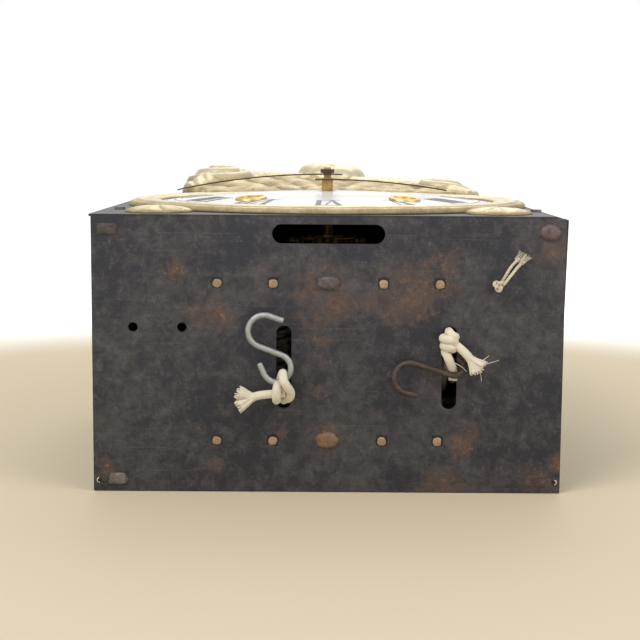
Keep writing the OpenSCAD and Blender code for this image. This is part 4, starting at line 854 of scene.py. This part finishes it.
def makePediment(c):
    x, y = np.meshgrid(*(np.arange(low, high, c["grid"]) for low, high in c["span"]))

    def depth(px, py):
        return np.minimum(pedimentRelief(px, py, c)[1], np.hypot(px, py) - c["inner"])

    keep = depth(x, y) > 0
    index, flat, faces = -np.ones(x.shape, int), [], []
    rows, cols = x.shape
    for i in range(rows - 1):
        for j in range(cols - 1):
            if keep[i:i + 2, j:j + 2].all():
                quad = []
                for a, b in ((i, j), (i, j + 1), (i + 1, j + 1), (i + 1, j)):
                    if index[a, b] < 0:
                        index[a, b] = len(flat)
                        flat.append((x[a, b], y[a, b]))
                    quad.append(int(index[a, b]))
                faces.append(quad)
    # rim points move to the outline, so that no steps of the grid show
    sides = {}
    for quad in faces:
        for a, b in zip(quad, quad[1:] + quad[:1]):
            side = min(a, b), max(a, b)
            sides[side] = sides.get(side, 0) + 1
    rim = sorted({point for side, uses in sides.items() if uses == 1 for point in side})
    flat, h, most = np.array(flat), 0.05, 0.5
    for step in range(5):
        px, py = flat[rim, 0], flat[rim, 1]
        slope = np.stack([depth(px + h, py) - depth(px - h, py), depth(px, py + h) - depth(px, py - h)], 1) / (2 * h)
        move = -depth(px, py)[:, None] * slope / np.maximum((slope ** 2).sum(1), 0.25)[:, None]
        flat[rim] += np.clip(move, -most, most)
    x, y = flat[:, 0], flat[:, 1]
    high, inside = pedimentRelief(x, y, c)
    far = np.hypot(x, y)
    high = high * smoothStep(inside, 0, 1.6) * smoothStep(far, c["ring"] - 1.5, c["ring"] + 7)
    lifted = smoothStep(far, c["ring"] - 3, c["ring"] + 26) * (0.2 + 0.8 * smoothStep(y, 108, 160))
    curl = 0.009 * np.clip(np.abs(x - c["middle"]) - 79, 0, 40) ** 2
    lean = (c["hinge"] - x) * tan(radians(c["tilt"])) * lifted
    z = c["z"] + 1.0 + lean + 1.6 * (1 - lifted) + high - curl
    obj = newPiece("pediment", (zip(x, y, z), faces), pressedBrass, ["dial_surround"])
    addRelief(obj, np.minimum(1.0, high / 7))
    smooth = obj.modifiers.new("eased outline", "SMOOTH")
    smooth.factor, smooth.iterations = 0.5, 2
    thicken(obj, c["sheet"])


def makeRing(c, s):
    z, r = c["z"], c["ring"]
    profile = [(r - inset, z + up) for inset, up in s["outer"]] + [(radius, c["lip"] + up) for radius, up in s["lip"]]
    profile += [(r - inset, z + up) for inset, up in s["under"]]
    count, n, verts, faces, relief = s["count"], len(profile), [], [], []
    for a in around(count):
        dent = 0.12 * sin(5 * a + 1) + 0.08 * sin(13 * a) + 0.05 * sin(31 * a + 2)
        for k, (pr, pz) in enumerate(profile):
            lift = dent * (0.3 if pz - z < 2 else 1) * (0 if k in (0, n - 1) else 1)
            verts.append((pr * cos(a), pr * sin(a), pz + (lift if pr > s["flat"] else 0)))
            relief.append(min(1.0, max(0.0, (pz - z - 1.6) / 2.7)) if k < s["seen"] else 0.3)
    for i in range(count):
        here, there = i * n, ((i + 1) % count) * n
        for k in range(n):
            faces.append((here + k, there + k, there + (k + 1) % n, here + (k + 1) % n))
    addRelief(newPiece("dialRing", (verts, faces), pressedBrass), relief)


def makeLeaf(name, way, c):
    verts, faces, relief = [], [], []
    x0, y0, reach, rise = c["leaf"]
    rings, spokes = 14, 84
    for i in range(rings + 1):
        share = i / rings
        for a in around(spokes):
            lobe = abs(cos(3.5 * a))
            edge = (reach - 0.2) * (0.86 + 0.14 * lobe ** 0.5)
            rho = edge * i / rings
            ribs = 0.62 + 0.38 * lobe ** 0.6 * min(1, share * 3) + 0.38 * max(0, 1 - share * 3)
            h = rise * sqrt(max(0, 1 - share ** 2)) * ribs
            verts.append((way * x0 + rho * cos(a), y0 + rho * sin(a), c["z"] + 0.3 + h))
            relief.append(min(1.0, h / rise * 1.1))
    for i in range(rings):
        for k in range(spokes):
            a, b = i * spokes + k, i * spokes + (k + 1) % spokes
            faces.append((a, a + spokes, b + spokes, b))
    obj = newPiece(name, (verts, faces), pressedBrass)
    addRelief(obj, relief)
    thicken(obj, c["leafSheet"])


makePediment(surround)
makeRing(surround, ringSection)
makeLeaf("leftLeaf", -1, surround)
makeLeaf("rightLeaf", 1, surround)
print("surround pressed")

# White enamel with hair cracks, and black fired figures on it
dial = {
    "top": 156.8, "sphere": 806.07, "lift": 0.12, "inner": 69.5, "outer": 89.0, "track": (92.4, 97.4),
    "line": 0.45, "hourMark": 0.75, "minuteMark": 0.28, "wide": {"I": 5.0, "V": 10.6, "X": 10.6},
    "texts": "XII I II III IIII V VI VII VIII IX X XI",
}


def makeEnamel():
    mat, shader, where = newMaterial("dialEnamel")
    tint = softNoise(where, 25, 6, 0.6)
    warp = addNode("TexNoise", {"Vector": where, "Scale": 60, "Detail": 4}).outputs["Color"]
    moved = addNode("VectorMath", {0: warp, "Scale": 0.02}, operation="SCALE").outputs["Vector"]
    total = addNode("VectorMath", {0: where, 1: moved}, operation="ADD").outputs["Vector"]
    crack = addNode("TexVoronoi", {"Vector": total, "Scale": 38, "Randomness": 1.0}, feature="DISTANCE_TO_EDGE")
    thin = greyRamp(crack.outputs["Distance"], 0.0, 0.006, 1, 0)
    some = greyRamp(tint, 0.56, 0.68)
    base = mixColour(tint, colour(0.83, 0.83, 0.81), colour(0.78, 0.77, 0.73))
    base = mixColour(times(times(thin, some), 0.5), base, colour(0.35, 0.31, 0.26))
    feed(shader, {"Base Color": base, "Roughness": plus(0.14, times(tint, 0.12)),
                  "Normal": bump(softNoise(where, 45, 2, 0.5), 0.0004, 0.15)})
    return mat


def makeInk():
    mat, shader, where = newMaterial("dialInk")
    worn = softNoise(where, 320, 6, 0.7)
    tone = ramp(worn, [(0.3, colour(0.012, 0.012, 0.014)), (0.72, colour(0.035, 0.033, 0.034))])
    feed(shader, {"Base Color": tone, "Roughness": plus(0.25, times(worn, 0.25))})
    return mat


dialEnamel, dialInk = makeEnamel(), makeInk()
nodes["enamel_dial"].data.materials.clear()
nodes["enamel_dial"].data.materials.append(dialEnamel)


def domeHeight(r):
    return dial["top"] - dial["sphere"] + sqrt(dial["sphere"] ** 2 - r * r) + dial["lift"]


# Strokes of one hour figure: corners in (across, share of the height), thick and thin by turns
def figureStrokes(text, wide):
    total, at, strokes = sum(wide[ch] for ch in text), 0.0, []
    for ch in text:
        left, right = at - total / 2, at - total / 2 + wide[ch]
        mid = (left + right) / 2
        if ch == "I":
            strokes.append(((mid - 1.45, 0), (mid + 1.45, 0), (mid + 1.45, 1), (mid - 1.45, 1)))
        elif ch == "V":
            strokes.append(((mid - 0.9, 0), (mid + 0.9, 0), (left + 3.6, 1), (left + 0.7, 1)))
            strokes.append(((mid - 0.3, 0), (mid + 0.5, 0), (right - 0.8, 1), (right - 1.6, 1)))
        else:
            strokes.append(((right - 3.4, 0), (right - 0.5, 0), (left + 3.4, 1), (left + 0.5, 1)))
            strokes.append(((left + 0.9, 0), (left + 1.7, 0), (right - 0.9, 1), (right - 1.7, 1)))
        at += wide[ch]
    half, bar = total / 2 - 0.2, 0.035
    for low in (0.0, 0.965):
        strokes.append(((-half, low), (half, low), (half, low + bar), (-half, low + bar)))
    return strokes


def makeFigures(d):
    verts, faces = shape = [], []

    def patch(corners, cuts, across=1):
        base = len(verts)
        (ax, ay), (bx, by), (cx, cy), (dx, dy) = corners
        for i in range(cuts + 1):
            t = i / cuts
            for k in range(across + 1):
                s = k / across
                px = (ax + (bx - ax) * s) * (1 - t) + (dx + (cx - dx) * s) * t
                py = (ay + (by - ay) * s) * (1 - t) + (dy + (cy - dy) * s) * t
                verts.append((px, py, domeHeight(hypot(px, py))))
        row = across + 1
        for i in range(cuts):
            for k in range(across):
                a = base + i * row + k
                faces.append((a, a + 1, a + 1 + row, a + row))

    def polar(r, a):
        return r * cos(a), r * sin(a)

    def beside(turn, r, across):
        return (r * cos(turn) + across * sin(turn), r * sin(turn) + across * -cos(turn))

    tall, (low, high) = d["outer"] - d["inner"], d["track"]
    for hour, text in enumerate(d["texts"].split()):
        turn = radians(90 - 30 * hour)
        for stroke in figureStrokes(text, d["wide"]):
            corners = [beside(turn, d["inner"] + share * tall, across * (0.92 + 0.16 * share))
                       for across, share in stroke]
            wide = max(abs(p[0] - q[0]) for p in stroke for q in stroke)
            patch(corners, 6, 5 if wide > 8 else 1)
    cuts = 180
    for r in (low, high):
        for i in range(cuts):
            a, b = tau * i / cuts, tau * (i + 1) / cuts
            patch([polar(r, a), polar(r, b), polar(r + d["line"], b), polar(r + d["line"], a)], 1)
    for i in range(60):
        half = d["minuteMark"] if i % 5 else d["hourMark"]
        patch([beside(radians(6 * i), r, s * half) for r, s in ((low, -1), (low, 1), (high, 1), (high, -1))], 2)
    newPiece("dialFigures", shape, dialInk, smooth=False)


makeFigures(dial)
print("dial painted")

# Floor, white room and soft lamps
room = {"floor": colour(0.62, 0.53, 0.37), "far": colour(0.9, 0.9, 0.9), "glow": colour(0.5, 0.5, 0.5),
        "fade": (0.42, 0.7), "air": colour(1.0, 1.0, 1.0), "fill": 0.55, "radius": 6, "drop": -0.0004}
lamps = [  # place, aim, size, watts
    ((-0.9, -1.1, 1.5), (0, 0, 0.1), 1.2, 20.0),
    ((1.1, -0.8, 1.1), (0, 0, 0.1), 1.2, 8.0),
    ((0.1, 1.3, 1.4), (0, 0.1, 0.1), 1.4, 10.0),
]


def makeStage(c):
    bpy.ops.mesh.primitive_circle_add(vertices=96, radius=c["radius"], fill_type="NGON", location=(0, 0, c["drop"]))
    floor = bpy.context.object
    floor.name = "floor"
    mat, shader, where = newMaterial("paleFloor")
    away = addNode("VectorMath", {0: where}, operation="LENGTH").outputs["Value"]
    near, far = c["fade"]
    share = addNode("MapRange", {"Value": away, "From Min": near, "From Max": far},
                    interpolation_type="SMOOTHSTEP").outputs["Result"]
    feed(shader, {"Base Color": mixColour(share, c["floor"], c["far"]), "Roughness": 0.8,
                  "Emission Color": mixColour(share, colour(0, 0, 0), c["glow"]),
                  "Emission Strength": 1.0})
    floor.data.materials.append(mat)
    world = bpy.data.worlds.new("room")
    world.use_nodes = True
    scene.world = world
    tree = world.node_tree
    seen = addNode("LightPath", {}, tree).outputs
    direct = maths("MAXIMUM", seen["Is Camera Ray"], seen["Is Glossy Ray"])
    direct = maths("MAXIMUM", direct, seen["Is Transmission Ray"])
    strength = plus(times(direct, 1 - c["fill"]), c["fill"])
    feed(tree.nodes["Background"], {"Color": c["air"], "Strength": strength})


def makeLamp(number, at, aim, size, watts):
    data = bpy.data.lights.new("lamp%d" % number, "AREA")
    data.shape, data.size, data.energy = "DISK", size, watts
    obj = bpy.data.objects.new("lamp%d" % number, data)
    obj.location = at
    obj.rotation_euler = (Vector(aim) - Vector(at)).to_track_quat("-Z", "Y").to_euler()
    scene.collection.objects.link(obj)


makeStage(room)
for number, lamp in enumerate(lamps):
    makeLamp(number, *lamp)
print("room lit")
